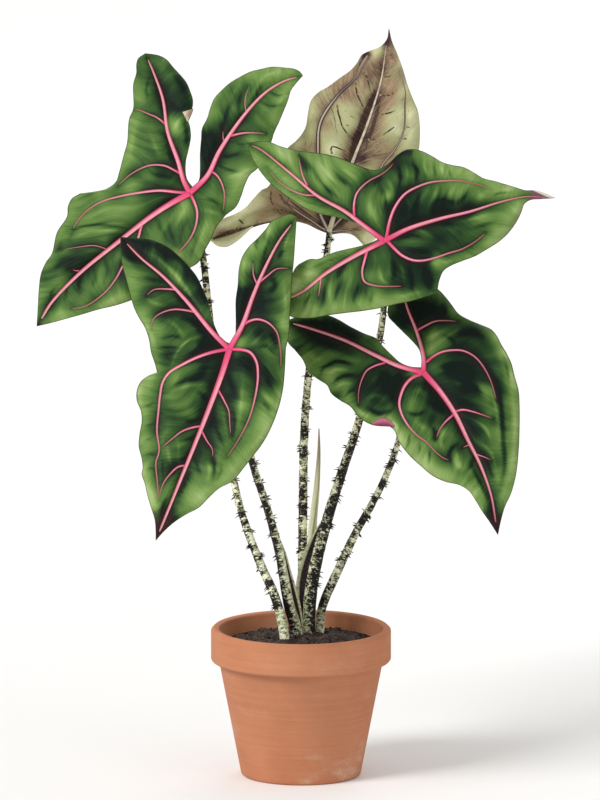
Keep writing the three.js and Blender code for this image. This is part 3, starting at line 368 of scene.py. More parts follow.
# %% Leaf C, upper right
LEAVES["c"] = dict(
    joint=[384, 291], sinus=[378, 289], tip=[556, 248], notches=[436, 344, 382, 218],
    rib_widths=[5.2, 0.9, 5.4, 2.6, 5, 1.5], depth=-85, lean=[0.05, 0.45], droop=[0.07, 0.05],
    wave=[5, 9, 2.6], rib=[408, 278.9, 440.2, 268.7, 470.1, 261.5, 500, 252, 526, 246.5],
    sides=[
        [437, 340, 439, 330, 443, 321, 450, 316, 462, 311, 475, 306, 487, 299, 498, 292, 508, 283,
         516, 272, 521, 262, 524, 254, 530, 250, 541, 249],
        [545, 243, 535, 240, 525, 240, 515, 237, 505, 234, 495, 231, 483, 228, 473, 222, 463, 217,
         452, 215, 442, 212, 432, 206, 422, 201, 413, 199, 405, 200, 397, 205, 389, 213],
    ],
    lobes=[
        dict(
            tip=[282, 352], rib=[355.7, 305.3, 325.9, 323.2, 303.5, 340.8],
            inner=[
                372, 292, 360, 296, 347, 299, 335, 302, 325, 306, 318, 309, 310, 309, 303, 312,
                296, 317,
            ],
            outer=[
                290, 366, 298, 368, 312, 368, 330, 365, 345, 363, 362, 361, 380, 358, 397, 354,
                412, 351, 425, 347,
            ],
        ),
        dict(
            tip=[247, 193], rib=[364.2, 276, 344.3, 261.1, 317.9, 246.2, 289.6, 222.5, 261.4, 200],
            inner=[
                370, 282, 363, 276, 350, 271, 335, 267, 320, 264, 308, 260, 295, 252, 282, 243,
                272, 235, 263, 225, 258, 218, 252, 208,
            ],
            outer=[
                373, 220, 362, 217, 352, 213, 340, 208, 325, 204, 310, 202, 295, 200, 280, 196,
                270, 192, 262, 191,
            ],
        ),
    ],
    veins=[
        [3.4, 1, 386, 289, 389.8, 270.2, 395.2, 256.6, 404.4, 244.5, 415.7, 237.6, 430.1, 232.5,
         445, 230.9, 460, 231, 475.1, 233.8, 490.1, 238.8],
        [3.2, 1, 386, 290, 393.1, 297.9, 401.6, 305.6, 411.9, 310.2, 422, 310.8, 434.7, 308, 447.8,
         303.4, 461.6, 299.1, 474.7, 291.6, 485.1, 283.1],
        [2.2, 0.8, 307.5, 236.2, 302.6, 225.4, 299.9, 213.3, 298.4, 205.2],
        [2, 0.6, 317, 245.5, 305, 244.9, 294.7, 241.6, 283.6, 235.5, 275.5, 228.4, 267.5, 218.4],
        [2.6, 0.9, 354.1, 267, 353.9, 255, 356, 245, 360.9, 237.9, 369.7, 230.5, 379.6, 225.3,
         387.6, 219.6, 393.6, 212.7],
        [2.8, 1, 367.5, 299.2, 364.2, 310.3, 361.8, 322, 364.2, 331.7, 374.8, 335.7, 388, 336.5,
         402, 336.1], [2, 0.8, 321.3, 325, 320, 335, 318.3, 347.9],
    ],
    shades=[
        402, 252, 15, -0.6, 438, 256, 15, -0.45, 404, 324, 18, -0.5, 428, 330, 13, -0.55, 402, 208,
        11, -0.55, 365, 222, 7, -0.3, 430, 298, 14, -0.25, 470, 255, 12, -0.15, 372, 318, 9, -0.2,
        328, 226, 12, 0.12, 368, 250, 11, 0.05, 470, 226, 14, 0.25, 500, 284, 14, 0.35, 380, 352,
        15, 0.35, 312, 361, 13, 0.35, 276, 202, 12, 0.25, 460, 312, 9, 0.08, 440, 208, 9, 0.2, 300,
        250, 9, 0.2, 345, 275, 7, 0.1, 500, 245, 10, 0.15, 390, 322, 5, 0.2, 284, 206, 9, 0.35,
        275, 216, 8, 0.35, 291, 228, 9, 0.4, 302, 212, 7, 0.25, 320, 214, 6, 0.2, 326, 236, 7,
        0.22, 340, 246, 6, 0.18, 450, 226, 9, 0.25, 470, 232, 8, 0.35, 490, 238, 8, 0.35, 510, 243,
        8, 0.35, 519, 254, 7, 0.35, 505, 264, 7, 0.18, 386, 246, 5, 0.28, 412, 268, 7, -0.25, 440,
        260, 7, -0.25, 466, 254, 7, -0.25, 400, 280, 6, -0.25, 440, 286, 11, -0.35, 465, 276, 8,
        -0.28, 434, 312, 5, 0.3, 311, 326, 8, 0.35, 296, 341, 8, 0.35, 331, 313, 7, 0.3, 351, 303,
        5, 0.2, 345, 340, 7, -0.25, 363, 340, 6, -0.28, 402, 349, 8, 0.22, 382, 240, 5, -0.1, 320,
        332, 10, 0.2, 345, 318, 8, 0.2, 455, 232, 10, 0.15, 436, 232, 7, 0.15, 420, 268, 8, -0.2,
        445, 262, 8, -0.2, 470, 257, 7, -0.15, 434, 312, 4, 0.2, 382, 290, 4, 0.2, 300, 340, 8,
        0.35, 318, 326, 8, 0.25, 262, 205, 8, 0.2, 285, 240, 12, 0.2, 300, 225, 10, 0.15, 325, 222,
        7, 0.25, 390, 246, 5, 0.25, 460, 240, 10, 0.15, 500, 246, 9, 0.2, 515, 262, 8, 0.2, 412,
        276, 5, -0.3, 440, 268, 5, -0.3, 465, 262, 5, -0.2, 437, 307, 5, 0.3, 452, 314, 5, -0.2,
        372, 325, 8, 0.2, 388, 335, 8, 0.2, 336, 250, 8, 0.15, 350, 287, 6, 0.25, 296, 212, 8, 0.2,
        312, 222, 8, 0.2, 322, 234, 7, 0.2, 387, 247, 5, 0.3, 425, 240, 8, 0.25, 434, 222, 6, 0.25,
        456, 249, 7, 0.2, 486, 244, 7, 0.15, 436, 314, 6, 0.25, 488, 291, 7, 0.15, 440, 276, 5,
        0.2, 398, 338, 7, 0.15, 365, 326, 6, 0.15, 328, 331, 5, -0.25, 361, 343, 6, -0.3, 322, 356,
        5, -0.25, 458, 287, 7, -0.25, 386, 344, 6, -0.2, 375, 337, 8, 0.2, 420, 335, 9, 0.2, 440,
        305, 8, 0.2, 445, 234, 8, 0.15, 413, 250, 6, 0.2, 482, 267, 8, 0.2, 380, 292, 5, 0.3, 296,
        338, 8, 0.25, 310, 327, 7, 0.25, 335, 357, 8, 0.2, 390, 210, 7, -0.35, 330, 236, 5, -0.2,
        330, 302, 6, -0.25, 301, 316, 5, -0.25, 440, 291, 9, -0.2, 400, 281, 6, -0.2, 283, 222, 8,
        0.25, 300, 236, 7, 0.2,
    ],
    strokes=[
        [4, -0.6, 298, 203, 303, 212, 308, 224], [3.5, -0.35, 303, 207, 312, 219, 320, 230],
        [3, -0.4, 268, 204, 280, 213, 292, 222], [3, -0.55, 333, 221, 341, 229, 351, 237],
        [3.5, -0.5, 318, 228, 326, 238, 338, 248], [3, 0.45, 318, 212, 328, 224, 342, 241],
        [3, 0.4, 340, 217, 350, 225, 357, 231], [3, 0.3, 285, 232, 305, 250, 330, 262],
        [2, -0.45, 290, 241, 305, 251, 325, 257], [5, 0.45, 368, 248, 372, 262, 378, 275],
        [3, -0.45, 379, 234, 385, 250, 387, 266], [3, 0.35, 386, 226, 391, 238, 393, 248],
        [3, -0.4, 371, 236, 378, 230, 386, 226], [5, -0.75, 393, 207, 402, 201, 414, 201],
        [2.5, -0.6, 397, 213, 400, 225, 399, 238], [2, 0.35, 404, 212, 407, 222, 406, 234],
        [2.5, -0.6, 412, 212, 417, 222, 415, 232], [2, 0.45, 424, 208, 424, 216, 428, 226],
        [2, -0.45, 433, 212, 434, 220, 436, 229], [2, 0.35, 441, 214, 442, 221, 444, 229],
        [2, -0.4, 448, 217, 450, 224, 452, 230], [6, -0.6, 395, 275, 404, 263, 418, 258],
        [5, -0.7, 432, 259, 442, 252, 455, 252], [2.5, 0.4, 404, 246, 409, 255, 408, 266],
        [3, 0.4, 438, 236, 435, 245, 429, 255], [3, 0.3, 453, 236, 450, 244, 445, 253],
        [3, -0.5, 420, 241, 417, 251, 414, 262], [3, -0.5, 468, 240, 463, 248, 456, 255],
        [4, 0.3, 478, 240, 480, 246, 478, 252], [3, 0.4, 460, 272, 475, 268, 490, 264],
        [3, -0.45, 418, 274, 438, 272, 460, 276], [3, -0.45, 395, 290, 410, 285, 425, 289],
        [3, -0.4, 468, 280, 483, 275, 496, 272], [3, 0.35, 405, 280, 420, 281, 436, 290],
        [5, -0.5, 400, 298, 415, 301, 432, 300], [4, -0.55, 392, 308, 394, 320, 392, 332],
        [3, -0.55, 408, 314, 411, 328, 412, 342], [5, -0.65, 424, 318, 428, 330, 430, 342],
        [2, 0.4, 400, 312, 403, 325, 405, 340], [3, 0.5, 379, 316, 381, 328, 388, 334],
        [3, 0.4, 440, 312, 447, 312, 454, 309], [4, -0.55, 347, 311, 341, 320, 334, 330],
        [2.5, 0.45, 333, 325, 329, 338, 331, 353], [2.5, -0.55, 327, 330, 324, 343, 323, 356],
        [2.5, -0.5, 343, 328, 337, 342, 335, 353], [2.5, 0.4, 350, 328, 345, 343, 343, 357],
        [2.5, -0.5, 359, 332, 355, 345, 353, 353], [2.5, -0.45, 373, 340, 371, 348, 369, 356],
        [2.5, 0.35, 363, 336, 361, 348, 359, 357], [3, -0.35, 310, 319, 325, 312, 340, 307],
        [2.5, -0.45, 313, 341, 307, 350, 304, 358], [2, -0.4, 488, 246, 500, 243, 514, 242],
        [2.5, 0.35, 398, 347, 410, 344, 424, 341], [2, -0.3, 345, 262, 352, 272, 364, 281],
    ],
)
print("leaf c:", len(LEAVES["c"]["veins"]), "veins")

# %% Leaf D, lower right
LEAVES["d"] = dict(
    joint=[423, 422], sinus=[422, 417], tip=[497, 584], notches=[388, 475, 506, 402],
    rib_widths=[6, 1.5, 5.2, 2.2, 5.2, 1.6], depth=-75, lean=[0.2, 0.5], droop=[0.07, 0.05],
    wave=[5, 9, 3.9], rib=[440.2, 441.8, 454.9, 464, 467.4, 489.8, 479.7, 514.7, 490.3, 544.9],
    sides=[
        [394, 480, 397, 488, 401, 495, 410, 506, 420, 515, 432, 525, 445, 531, 458, 534, 468, 540,
         475, 550, 481, 560, 488, 570],
        [500, 570, 504, 556, 510, 543, 515, 525, 518, 500, 519, 475, 519, 455, 518, 440, 514, 425,
         511, 413],
    ],
    lobes=[
        dict(
            tip=[285, 371], rib=[397.9, 415.3, 374.7, 404.6, 344.6, 390, 309.7, 378],
            inner=[
                410, 416, 400, 412, 391, 404, 383, 396, 376, 388, 364, 383, 350, 376, 338, 369,
                328, 365, 308, 363,
            ],
            outer=[
                288, 392, 295, 400, 303, 410, 308, 421, 318, 429, 327, 435, 331, 443, 340, 450,
                350, 456, 357, 465, 363, 470, 371, 474,
            ],
        ),
        dict(
            tip=[400, 333], rib=[423.4, 408, 416.7, 382.4, 407.3, 358.3],
            inner=[419, 400, 412, 391, 403, 382, 394, 373, 388, 366, 388, 356],
            outer=[
                501, 394, 497, 386, 491, 379, 480, 374, 468, 369, 458, 363, 452, 355, 445, 346,
                438, 339, 424, 333,
            ],
        ),
    ],
    veins=[
        [3.4, 1.1, 422, 423, 412.1, 427.2, 405.6, 433.4, 401.2, 442.1, 398.8, 453, 401.1, 463.4,
         407.3, 474.5, 415.9, 484.1, 426.2, 491.9, 434.4, 500.6, 442.8, 507.3, 448.9, 509.3],
        [2.8, 0.8, 426, 411.9, 433, 406, 442.2, 401.5, 453, 399.8, 462.8, 400.5, 472.8, 405.3,
         479.8, 412.1, 486.8, 423.1, 491.8, 435.1, 495.8, 450.1],
        [2.2, 0.6, 385.1, 412.3, 375.1, 415.2, 366.3, 420.4, 361.4, 429.7, 358.3, 441.9, 358.3,
         455], [2.4, 0.7, 417, 380, 425.2, 375.4, 435, 371, 445, 370.3, 458, 371.1],
        [2.4, 0.8, 455, 460.9, 462, 459.3, 472, 461.1, 481.9, 464.3, 493, 468.1],
        [2.4, 0.9, 453, 464, 446, 470, 439.2, 478.5, 435.5, 487.8],
        [1.6, 0.7, 469, 494.1, 465.2, 495.4, 461.1, 497.2],
        [1.6, 0.6, 473.9, 503.2, 483, 506.1, 492, 510],
    ],
    shades=[
        318, 381, 16, -0.65, 350, 384, 13, -0.55, 380, 438, 15, -0.7, 400, 364, 12, -0.6, 428, 358,
        17, -0.65, 466, 425, 16, -0.65, 486, 395, 11, -0.4, 430, 452, 12, -0.35, 499, 440, 7, -0.5,
        470, 462, 13, -0.35, 450, 498, 10, -0.2, 500, 490, 5, -0.35, 345, 429, 10, -0.1, 440, 394,
        9, 0.4, 422, 512, 14, 0.5, 512, 480, 6, 0.2, 468, 540, 10, 0.35, 345, 452, 9, 0.08, 385,
        470, 8, 0.35, 400, 490, 8, 0.35, 468, 519, 10, 0.15, 412, 450, 9, 0.2, 493, 572, 10, -0.5,
        484, 530, 8, 0.15, 392, 371, 7, -0.28, 405, 383, 6, -0.25, 297, 396, 7, -0.35, 416, 440, 7,
        -0.35, 450, 425, 10, -0.35, 452, 450, 8, -0.28, 470, 378, 9, -0.28, 460, 390, 8, -0.22,
        497, 386, 6, 0.3, 506, 401, 6, 0.35, 512, 426, 6, 0.3, 481, 437, 5, 0.2, 476, 482, 8, -0.4,
        482, 496, 7, -0.38, 408, 479, 6, 0.25, 422, 491, 6, 0.25, 440, 481, 5, 0.2, 395, 492, 5,
        0.25, 428, 470, 6, -0.25, 440, 520, 8, 0.18, 508, 478, 4, -0.15, 512, 522, 6, 0.22, 488,
        562, 7, -0.4, 465, 532, 7, -0.18, 330, 395, 11, 0.12, 352, 396, 8, 0.12, 365, 440, 9, -0.2,
        335, 446, 6, -0.15, 505, 400, 6, 0.2, 514, 420, 6, 0.2, 490, 440, 6, 0.2, 500, 480, 6, 0.2,
        455, 430, 12, -0.25, 430, 400, 6, 0.2, 412, 420, 5, 0.2, 475, 482, 7, -0.15, 485, 560, 6,
        -0.15, 500, 385, 8, 0.3, 509, 402, 8, 0.25, 516, 430, 8, 0.35, 517, 462, 6, 0.2, 512, 512,
        7, 0.25, 505, 542, 7, 0.25, 490, 463, 5, 0.2, 460, 400, 13, -0.25, 470, 440, 10, -0.25,
        450, 456, 8, -0.2, 432, 440, 7, -0.25, 414, 420, 6, 0.25, 475, 378, 8, -0.25, 398, 376, 5,
        -0.3, 290, 400, 6, -0.35, 318, 430, 5, -0.35, 335, 447, 5, -0.3, 352, 460, 5, -0.3, 412,
        483, 6, 0.2, 430, 493, 6, 0.2, 417, 421, 6, 0.25, 430, 401, 5, 0.3, 338, 392, 10, 0.2, 356,
        400, 8, 0.15, 325, 421, 6, 0.2, 488, 440, 6, 0.2, 500, 490, 5, 0.35, 484, 465, 6, 0.2, 404,
        462, 5, 0.2, 297, 402, 6, -0.3, 312, 430, 6, -0.3, 340, 450, 7, -0.25, 352, 424, 7, -0.25,
        378, 455, 8, -0.2, 420, 438, 6, -0.25, 433, 468, 6, -0.25, 455, 455, 8, -0.25, 455, 420, 9,
        -0.15, 495, 412, 7, -0.25, 508, 468, 5, -0.2, 474, 530, 6, -0.2, 432, 372, 6, 0.3, 375,
        388, 7, -0.35, 400, 426, 6, -0.25, 435, 446, 9, -0.25, 461, 478, 8, -0.25, 500, 428, 6,
        -0.3, 402, 372, 6, -0.3, 483, 515, 7, -0.2, 333, 427, 6, 0.2, 346, 441, 5, 0.3, 492, 445,
        7, 0.25, 501, 492, 6, 0.3, 499, 527, 6, 0.3, 481, 560, 6, 0.3, 412, 490, 8, 0.2, 430, 497,
        7, 0.15, 445, 528, 8, 0.2, 438, 478, 6, 0.2, 382, 388, 5, 0.3,
    ],
    strokes=[
        [6, -0.75, 300, 372, 325, 378, 350, 386], [5, -0.5, 320, 366, 345, 377, 366, 388],
        [6, -0.6, 310, 388, 335, 397, 360, 406], [5, 0.3, 305, 402, 315, 408, 325, 412],
        [2, -0.75, 326, 416, 336, 411, 352, 414], [2.5, -0.65, 331, 434, 342, 426, 358, 425],
        [3, 0.5, 327, 424, 336, 419, 352, 420], [3, 0.5, 334, 439, 342, 433, 353, 433],
        [2.5, -0.5, 320, 426, 323, 418, 330, 413], [2, -0.5, 344, 447, 350, 441, 357, 439],
        [8, -0.75, 380, 420, 388, 432, 392, 445], [4, 0.4, 368, 447, 378, 445, 386, 450],
        [3, -0.7, 366, 457, 379, 463, 392, 459], [3.5, 0.55, 348, 452, 362, 463, 372, 468],
        [3, 0.5, 384, 472, 394, 474, 398, 482], [5, -0.85, 400, 425, 396, 438, 394, 450],
        [5, 0.45, 410, 443, 419, 440, 427, 446], [2.5, -0.6, 420, 432, 430, 436, 438, 447],
        [4, -0.65, 428, 450, 438, 458, 446, 463], [2.5, -0.6, 405, 461, 415, 464, 425, 461],
        [3, -0.55, 430, 474, 435, 484, 431, 493], [4, 0.35, 412, 468, 420, 475, 428, 480],
        [3.5, 0.45, 446, 478, 440, 489, 443, 501], [2.5, -0.6, 447, 508, 451, 498, 458, 492],
        [5, 0.5, 458, 500, 455, 510, 463, 519], [2.5, -0.5, 462, 524, 470, 514, 474, 504],
        [2, -0.55, 409, 482, 408, 491, 405, 498], [2, -0.45, 419, 490, 419, 500, 417, 507],
        [2, -0.45, 428, 496, 429, 506, 428, 514], [8, -0.75, 400, 355, 420, 358, 440, 362],
        [6, -0.55, 445, 350, 440, 365, 430, 372], [5, 0.5, 425, 392, 433, 384, 442, 380],
        [5, -0.55, 455, 385, 470, 382, 486, 388], [6, -0.8, 440, 415, 455, 417, 470, 420],
        [3.5, 0.45, 438, 433, 453, 431, 466, 439], [5, -0.55, 460, 440, 472, 436, 485, 445],
        [4, -0.55, 458, 468, 468, 474, 476, 482], [2.5, 0.45, 474, 469, 485, 478, 491, 492],
        [3.5, -0.7, 484, 412, 494, 430, 500, 455, 502, 485, 504, 515, 499, 540],
        [2.5, 0.45, 488, 428, 493, 446, 497, 466, 499, 490],
        [4, 0.4, 510, 435, 514, 465, 513, 500, 508, 530], [2, -0.45, 500, 398, 506, 415, 509, 436],
        [3, -0.5, 478, 500, 487, 514, 493, 530], [2.5, 0.4, 480, 492, 490, 502, 495, 518],
        [3, -0.5, 470, 512, 478, 530, 487, 548], [2.5, 0.4, 472, 524, 480, 540, 486, 555],
        [2.5, -0.4, 440, 383, 452, 390, 456, 398], [3, 0.35, 466, 428, 478, 434, 488, 448],
        [2.5, 0.35, 462, 468, 474, 488, 486, 500], [4, -0.4, 452, 449, 462, 452, 474, 455],
        [2.5, 0.3, 404, 368, 412, 378, 420, 392],
    ],
)
print("leaf d:", len(LEAVES["d"]["veins"]), "veins")

# %% Leaf E, at the back, its underside to the viewer
LEAVES["e"] = dict(
    joint=[329, 281], sinus=[331, 284], tip=[389, 77], notches=[405, 238, 278, 215],
    rib_widths=[6, 0.8, 5, 0.8, 5, 0.8], depth=45, lean=[0.05, -0.25], droop=[0.05, 0.05],
    wave=[4, 8, 0.9], fine=20, rib=[340, 247, 352, 213, 368, 172, 381, 130],
    sides=[
        [414, 218, 419, 199, 420, 188, 420, 175, 418, 160, 413, 148, 408, 135, 403, 118, 397, 102,
         392, 90],
        [387, 88, 380, 96, 370, 100, 362, 104, 357, 112, 350, 120, 340, 127, 328, 136, 318, 142,
         311, 150, 308, 162, 306, 175, 302, 183, 296, 190, 288, 197],
    ],
    lobes=[
        dict(
            tip=[365, 296], rib=[340, 278.5, 353, 281], inner=[343, 282.5, 353, 284.5],
            outer=[378, 286, 393, 262],
        ),
        dict(
            tip=[211, 289], rib=[300, 264, 275, 258, 243, 269],
            inner=[318, 279, 308, 274, 297, 271, 285, 270, 270, 272, 255, 276, 240, 282, 225, 287],
            outer=[268, 236, 262, 239, 255, 246, 245, 257, 235, 263, 225, 267, 218, 271, 213, 280],
        ),
    ],
    veins=[
        [2.9, 1.3, 329, 281, 320, 262, 316, 235, 318, 203, 318, 190, 318.5, 180, 321, 170, 327,
         159, 333.5, 150, 341, 141, 350, 133, 357, 125, 361, 116, 368, 104],
        [2.4, 0.6, 329, 281, 342, 267, 365, 245, 384, 212, 393, 201, 400, 190, 404, 179, 405, 167,
         405, 152, 405.5, 142, 403, 130, 400, 119],
        [2.6, 1.2, 329, 281, 320, 276, 313, 271, 299, 262, 286, 252, 281, 244],
        [2.6, 1.4, 331, 281, 340, 280, 350, 279, 361, 278],
    ],
    fine_veins=[
        [1.3, 355, 130, 356, 137, 357, 143, 360, 150, 363, 156, 366, 162],
        [1.3, 363, 118, 364, 122, 367, 127, 369, 134, 370, 139, 373, 146],
        [1, 331, 156, 333, 162, 335, 170, 336, 178, 337, 184, 333, 186, 328, 187, 324, 188],
        [1.5, 337, 154, 338, 161, 340, 168, 342, 175, 345, 180, 349, 185, 351, 190],
        [1, 350, 165, 355, 168, 359, 172, 361, 174], [1.1, 346, 174, 350, 176, 353, 179],
        [1.4, 332, 203, 331, 199, 332, 196, 336, 196.5, 341, 198.5, 346, 201, 350, 202],
        [1.4, 383, 126, 388, 126, 392, 124.5, 396, 120],
        [1.3, 379, 144, 385, 145, 390, 144.5, 394, 142, 398, 137],
        [1.4, 381, 164, 390, 162, 395, 160, 400, 158],
        [1.4, 383, 184, 387, 181.5, 392, 178, 396, 175, 399, 174],
        [1.4, 368, 189, 375, 189, 381, 189], [1.1, 406, 165, 410, 165],
        [1.2, 406, 176, 412, 177, 415, 177], [1.2, 404, 188, 408, 188, 412, 188],
        [1.1, 408, 154, 412, 153], [1.1, 374, 204, 379, 201, 384, 197, 387, 193],
        [1, 304, 199, 309, 200.5, 316, 202], [0.9, 305, 195, 306, 187, 306, 180],
        [0.9, 313, 164, 316, 165.5, 319, 167], [1.3, 271, 240, 271, 250, 274, 255, 281, 263],
        [1.4, 279, 243, 282, 248, 285, 254, 289, 259], [1.3, 239, 269, 245, 274, 250, 277],
        [0.9, 224, 280, 225, 276], [0.9, 228, 280, 228.5, 276], [0.9, 232, 279, 232.5, 275],
        [0.9, 236, 278, 236, 274.5], [1.3, 379, 111, 381, 116, 382, 120],
    ],
    flush=[
        370, 122, 9, 0.9, 378, 112, 6, 0.6, 391, 108, 7, 1, 390, 135, 9, 0.9, 384, 150, 8, 0.9,
        344, 143, 9, 0.9, 330, 133, 9, 0.7, 350, 120, 9, 0.8, 345, 125, 8, 0.7, 314, 195, 6, 0.7,
        304, 200, 7, 0.6, 320, 155, 7, 0.4, 327, 175, 7, 0.8, 347, 205, 6, 0.9, 355, 200, 8, 0.8,
        357, 150, 6, 0.5, 352, 138, 7, 0.7, 370, 160, 9, 0.7, 378, 172, 9, 0.8, 375, 195, 10, 0.9,
        385, 205, 11, 0.9, 395, 150, 6, 0.2, 300, 256, 16, 1, 281, 250, 13, 1, 330, 262, 14, 1,
        352, 272, 10, 1, 262, 266, 7, 0.6, 362, 138, 6, 0.5, 240, 279, 6, 0.8, 224, 282, 6, 0.8,
    ],
    shades=[
        356, 185, 8, -0.35, 364, 165, 6, -0.3, 350, 205, 7, -0.3, 372, 150, 5, -0.3, 379, 160, 7,
        -0.3, 373, 180, 7, -0.3, 368, 198, 8, -0.2, 370, 124, 9, -0.3, 330, 265, 14, -0.6, 300,
        262, 12, -0.5, 388, 92, 7, -0.5, 385, 110, 5, -0.2, 326, 158, 7, -0.3, 377, 101, 5, 0.3,
        366, 102, 4, -0.3, 404, 140, 6, 0.35, 392, 172, 7, 0.35, 412, 165, 8, 0.35, 410, 182, 8,
        0.35, 345, 172, 8, 0.3, 333, 195, 9, 0.4, 398, 182, 6, 0.3, 245, 261, 13, 0.6, 224, 271, 8,
        0.6, 262, 250, 8, 0.4, 345, 157, 6, 0.2, 310, 160, 6, 0.25, 309, 180, 5, 0.2, 240, 281, 6,
        -0.5, 222, 284, 6, -0.4, 344, 143, 7, -0.2, 362, 207, 7, -0.45, 410, 196, 7, 0.3, 297, 195,
        6, 0.3, 232, 273, 7, 0.3, 256, 272, 5, -0.4, 367, 287, 6, 0.5, 325, 150, 8, -0.1, 366, 132,
        7, -0.2, 400, 160, 7, 0.2, 326, 274, 5, -0.5, 383, 120, 6, -0.4, 379, 142, 6, -0.4, 365,
        104, 5, -0.3, 388, 86, 6, -0.3, 362, 211, 6, -0.3, 350, 190, 6, -0.3, 318, 170, 6, -0.2,
        300, 192, 6, 0.35, 313, 216, 6, 0.3, 322, 228, 6, 0.3, 285, 248, 8, 0.3, 302, 257, 9, 0.25,
        327, 273, 5, -0.3, 349, 272, 7, 0.3, 230, 272, 8, 0.3, 386, 197, 6, 0.35, 397, 108, 4, 0.3,
        334, 198, 6, 0.15, 364, 103, 6, -0.25, 360, 113, 5, -0.3, 318, 145, 6, -0.3, 332, 135, 6,
        -0.2, 308, 158, 5, -0.3, 378, 150, 6, -0.2, 364, 190, 7, -0.3, 337, 234, 6, -0.3, 350, 220,
        5, -0.3, 283, 200, 6, -0.2, 398, 112, 5, 0.4, 408, 165, 9, 0.15, 331, 178, 5, 0.2, 330,
        201, 6, 0.2, 272, 246, 8, 0.3, 292, 254, 9, 0.25, 312, 262, 8, 0.3, 327, 273, 5, -0.4, 350,
        280, 5, 0.5, 372, 291, 7, 0.5, 230, 273, 8, 0.3,
    ],
    strokes=[
        [3.6, -1, 349, 210, 355, 192, 362.5, 172, 369.5, 154, 375, 140],
        [2.6, -0.7, 363, 205, 371, 182, 377, 162, 382, 144],
        [1.5, -1, 210, 289, 225, 284, 240, 279, 255, 275, 268, 272, 288, 267],
        [3, -0.8, 330, 274, 326, 266, 318, 262], [3, -0.8, 338, 276, 345, 270, 350, 268],
        [1.4, -0.7, 284, 243, 294, 253, 306, 262, 320, 272],
        [5, -0.3, 262, 246, 275, 252, 286, 262], [4, -0.35, 388, 96, 394, 108, 398, 116],
        [3, 0.3, 232, 268, 245, 262, 258, 254], [4, 0.25, 312, 160, 322, 144, 338, 132],
        [4, 0.3, 346, 190, 350, 178, 356, 168], [5, 0.35, 392, 182, 408, 180],
        [2.5, -0.5, 214, 287, 228, 281, 240, 276], [3, -0.3, 372, 205, 384, 205, 394, 198],
        [1.2, -0.8, 344, 207, 350, 212, 356, 211],
    ],
)
print("leaf e:", len(LEAVES["e"]["veins"]), "veins")

# %% Numbers into places
LETTERS = list(LEAVES)


def pairs(flat, size=2):
    """Places of the sheet, from x, y, x, y and so on, or longer groups of numbers."""
    return np.reshape(np.array(flat, float), (-1, size)).tolist()


for leaf in LEAVES.values():
    for key in {"shades", "flush"} & set(leaf):
        leaf[key] = pairs(leaf[key], 4)
    for part in (leaf, *leaf["lobes"]):
        for key in {"rib", "notches", "inner", "outer"} & set(part):
            part[key] = pairs(part[key])
    leaf["sides"] = [pairs(side) for side in leaf["sides"]]
    leaf["veins"] = [[start, end, *pairs(flat)] for start, end, *flat in leaf["veins"]]
print("leaves:", LETTERS, "shades:", [len(LEAVES[k]["shades"]) for k in LETTERS])

# %% [markdown]
# ## The camera
# The picture is drawn from far away, slightly above. A long lens from 24 metres gives the
# same flat perspective, and the look-down angle is the sheet's own tilt, so a place on the sheet
# lands at the same place in the frame.

# %% Camera
camera_data = bpy.data.cameras.new("camera")
camera = bpy.data.objects.new("camera", camera_data)
bpy.context.scene.collection.objects.link(camera)
DISTANCE, FRAME_HEIGHT = 24.0, 0.8
camera_data.sensor_fit = "AUTO"
camera_data.sensor_width = 36
camera_data.lens = DISTANCE * 36 / FRAME_HEIGHT
camera_data.clip_end = 200
target = Vector(place(300, 449.5, 0))
sight = Vector((0, math.cos(VIEW_TILT), -math.sin(VIEW_TILT)))
camera.location = target - DISTANCE * sight
camera.rotation_euler = sight.to_track_quat("-Z", "Y").to_euler()
bpy.context.scene.camera = camera
print("camera:", [round(v, 2) for v in camera.location], "lens", camera_data.lens)

# %% [markdown]
# ## Light and floor
# A print has no shadows of its own, so the light is soft and pale. The main light is a sun seen
# as a wide disc, high on the left: it is even over the whole floor and its shadows are soft. A
# round lamp on the right and one behind lift the shadows, and the sky is bright. The floor is
# wide enough that its edge never shows.

# %% Light, sky and floor
def lamp(name, kind, spot, power, size):
    light = bpy.data.lights.new(name, kind)
    light.energy = power
    if kind == "SUN":
        light.angle = size
    else:
        light.shape, light.size = "DISK", size
    holder = bpy.data.objects.new(name, light)
    bpy.context.scene.collection.objects.link(holder)
    holder.location = spot
    holder.rotation_euler = (Vector((0, 0, 0.4)) - Vector(spot)).to_track_quat("-Z", "Y").to_euler()


lamp("wide sun", "SUN", (-3.4, -2.6, 3.9), 2.1, math.radians(22))
lamp("fill lamp", "AREA", (3.2, -2.8, 2.0), 16, 2.5)
lamp("back lamp", "AREA", (1.0, 3.6, 3.0), 30, 2.5)
sky = bpy.data.worlds.new("sky")
bpy.context.scene.world = sky
sky.use_nodes = True
sky.node_tree.nodes["Background"].inputs["Color"].default_value = (1, 0.99, 0.98, 1)
sky.node_tree.nodes["Background"].inputs["Strength"].default_value = 0.62
bpy.context.scene.view_settings.view_transform = "Standard"
bpy.ops.mesh.primitive_plane_add(size=120, location=(0, 0, 0))
floor = bpy.context.active_object
floor.name = "floor"

# %% [markdown]
# ## Finishes
# A finish is a small tree of shader nodes. Written node by node it hides the idea, so a `Knob`
# wraps a socket and takes part in sums, and a `Finish` holds the material and adds any other
# node in one call: its kind, its settings, then the values or links of its sockets.

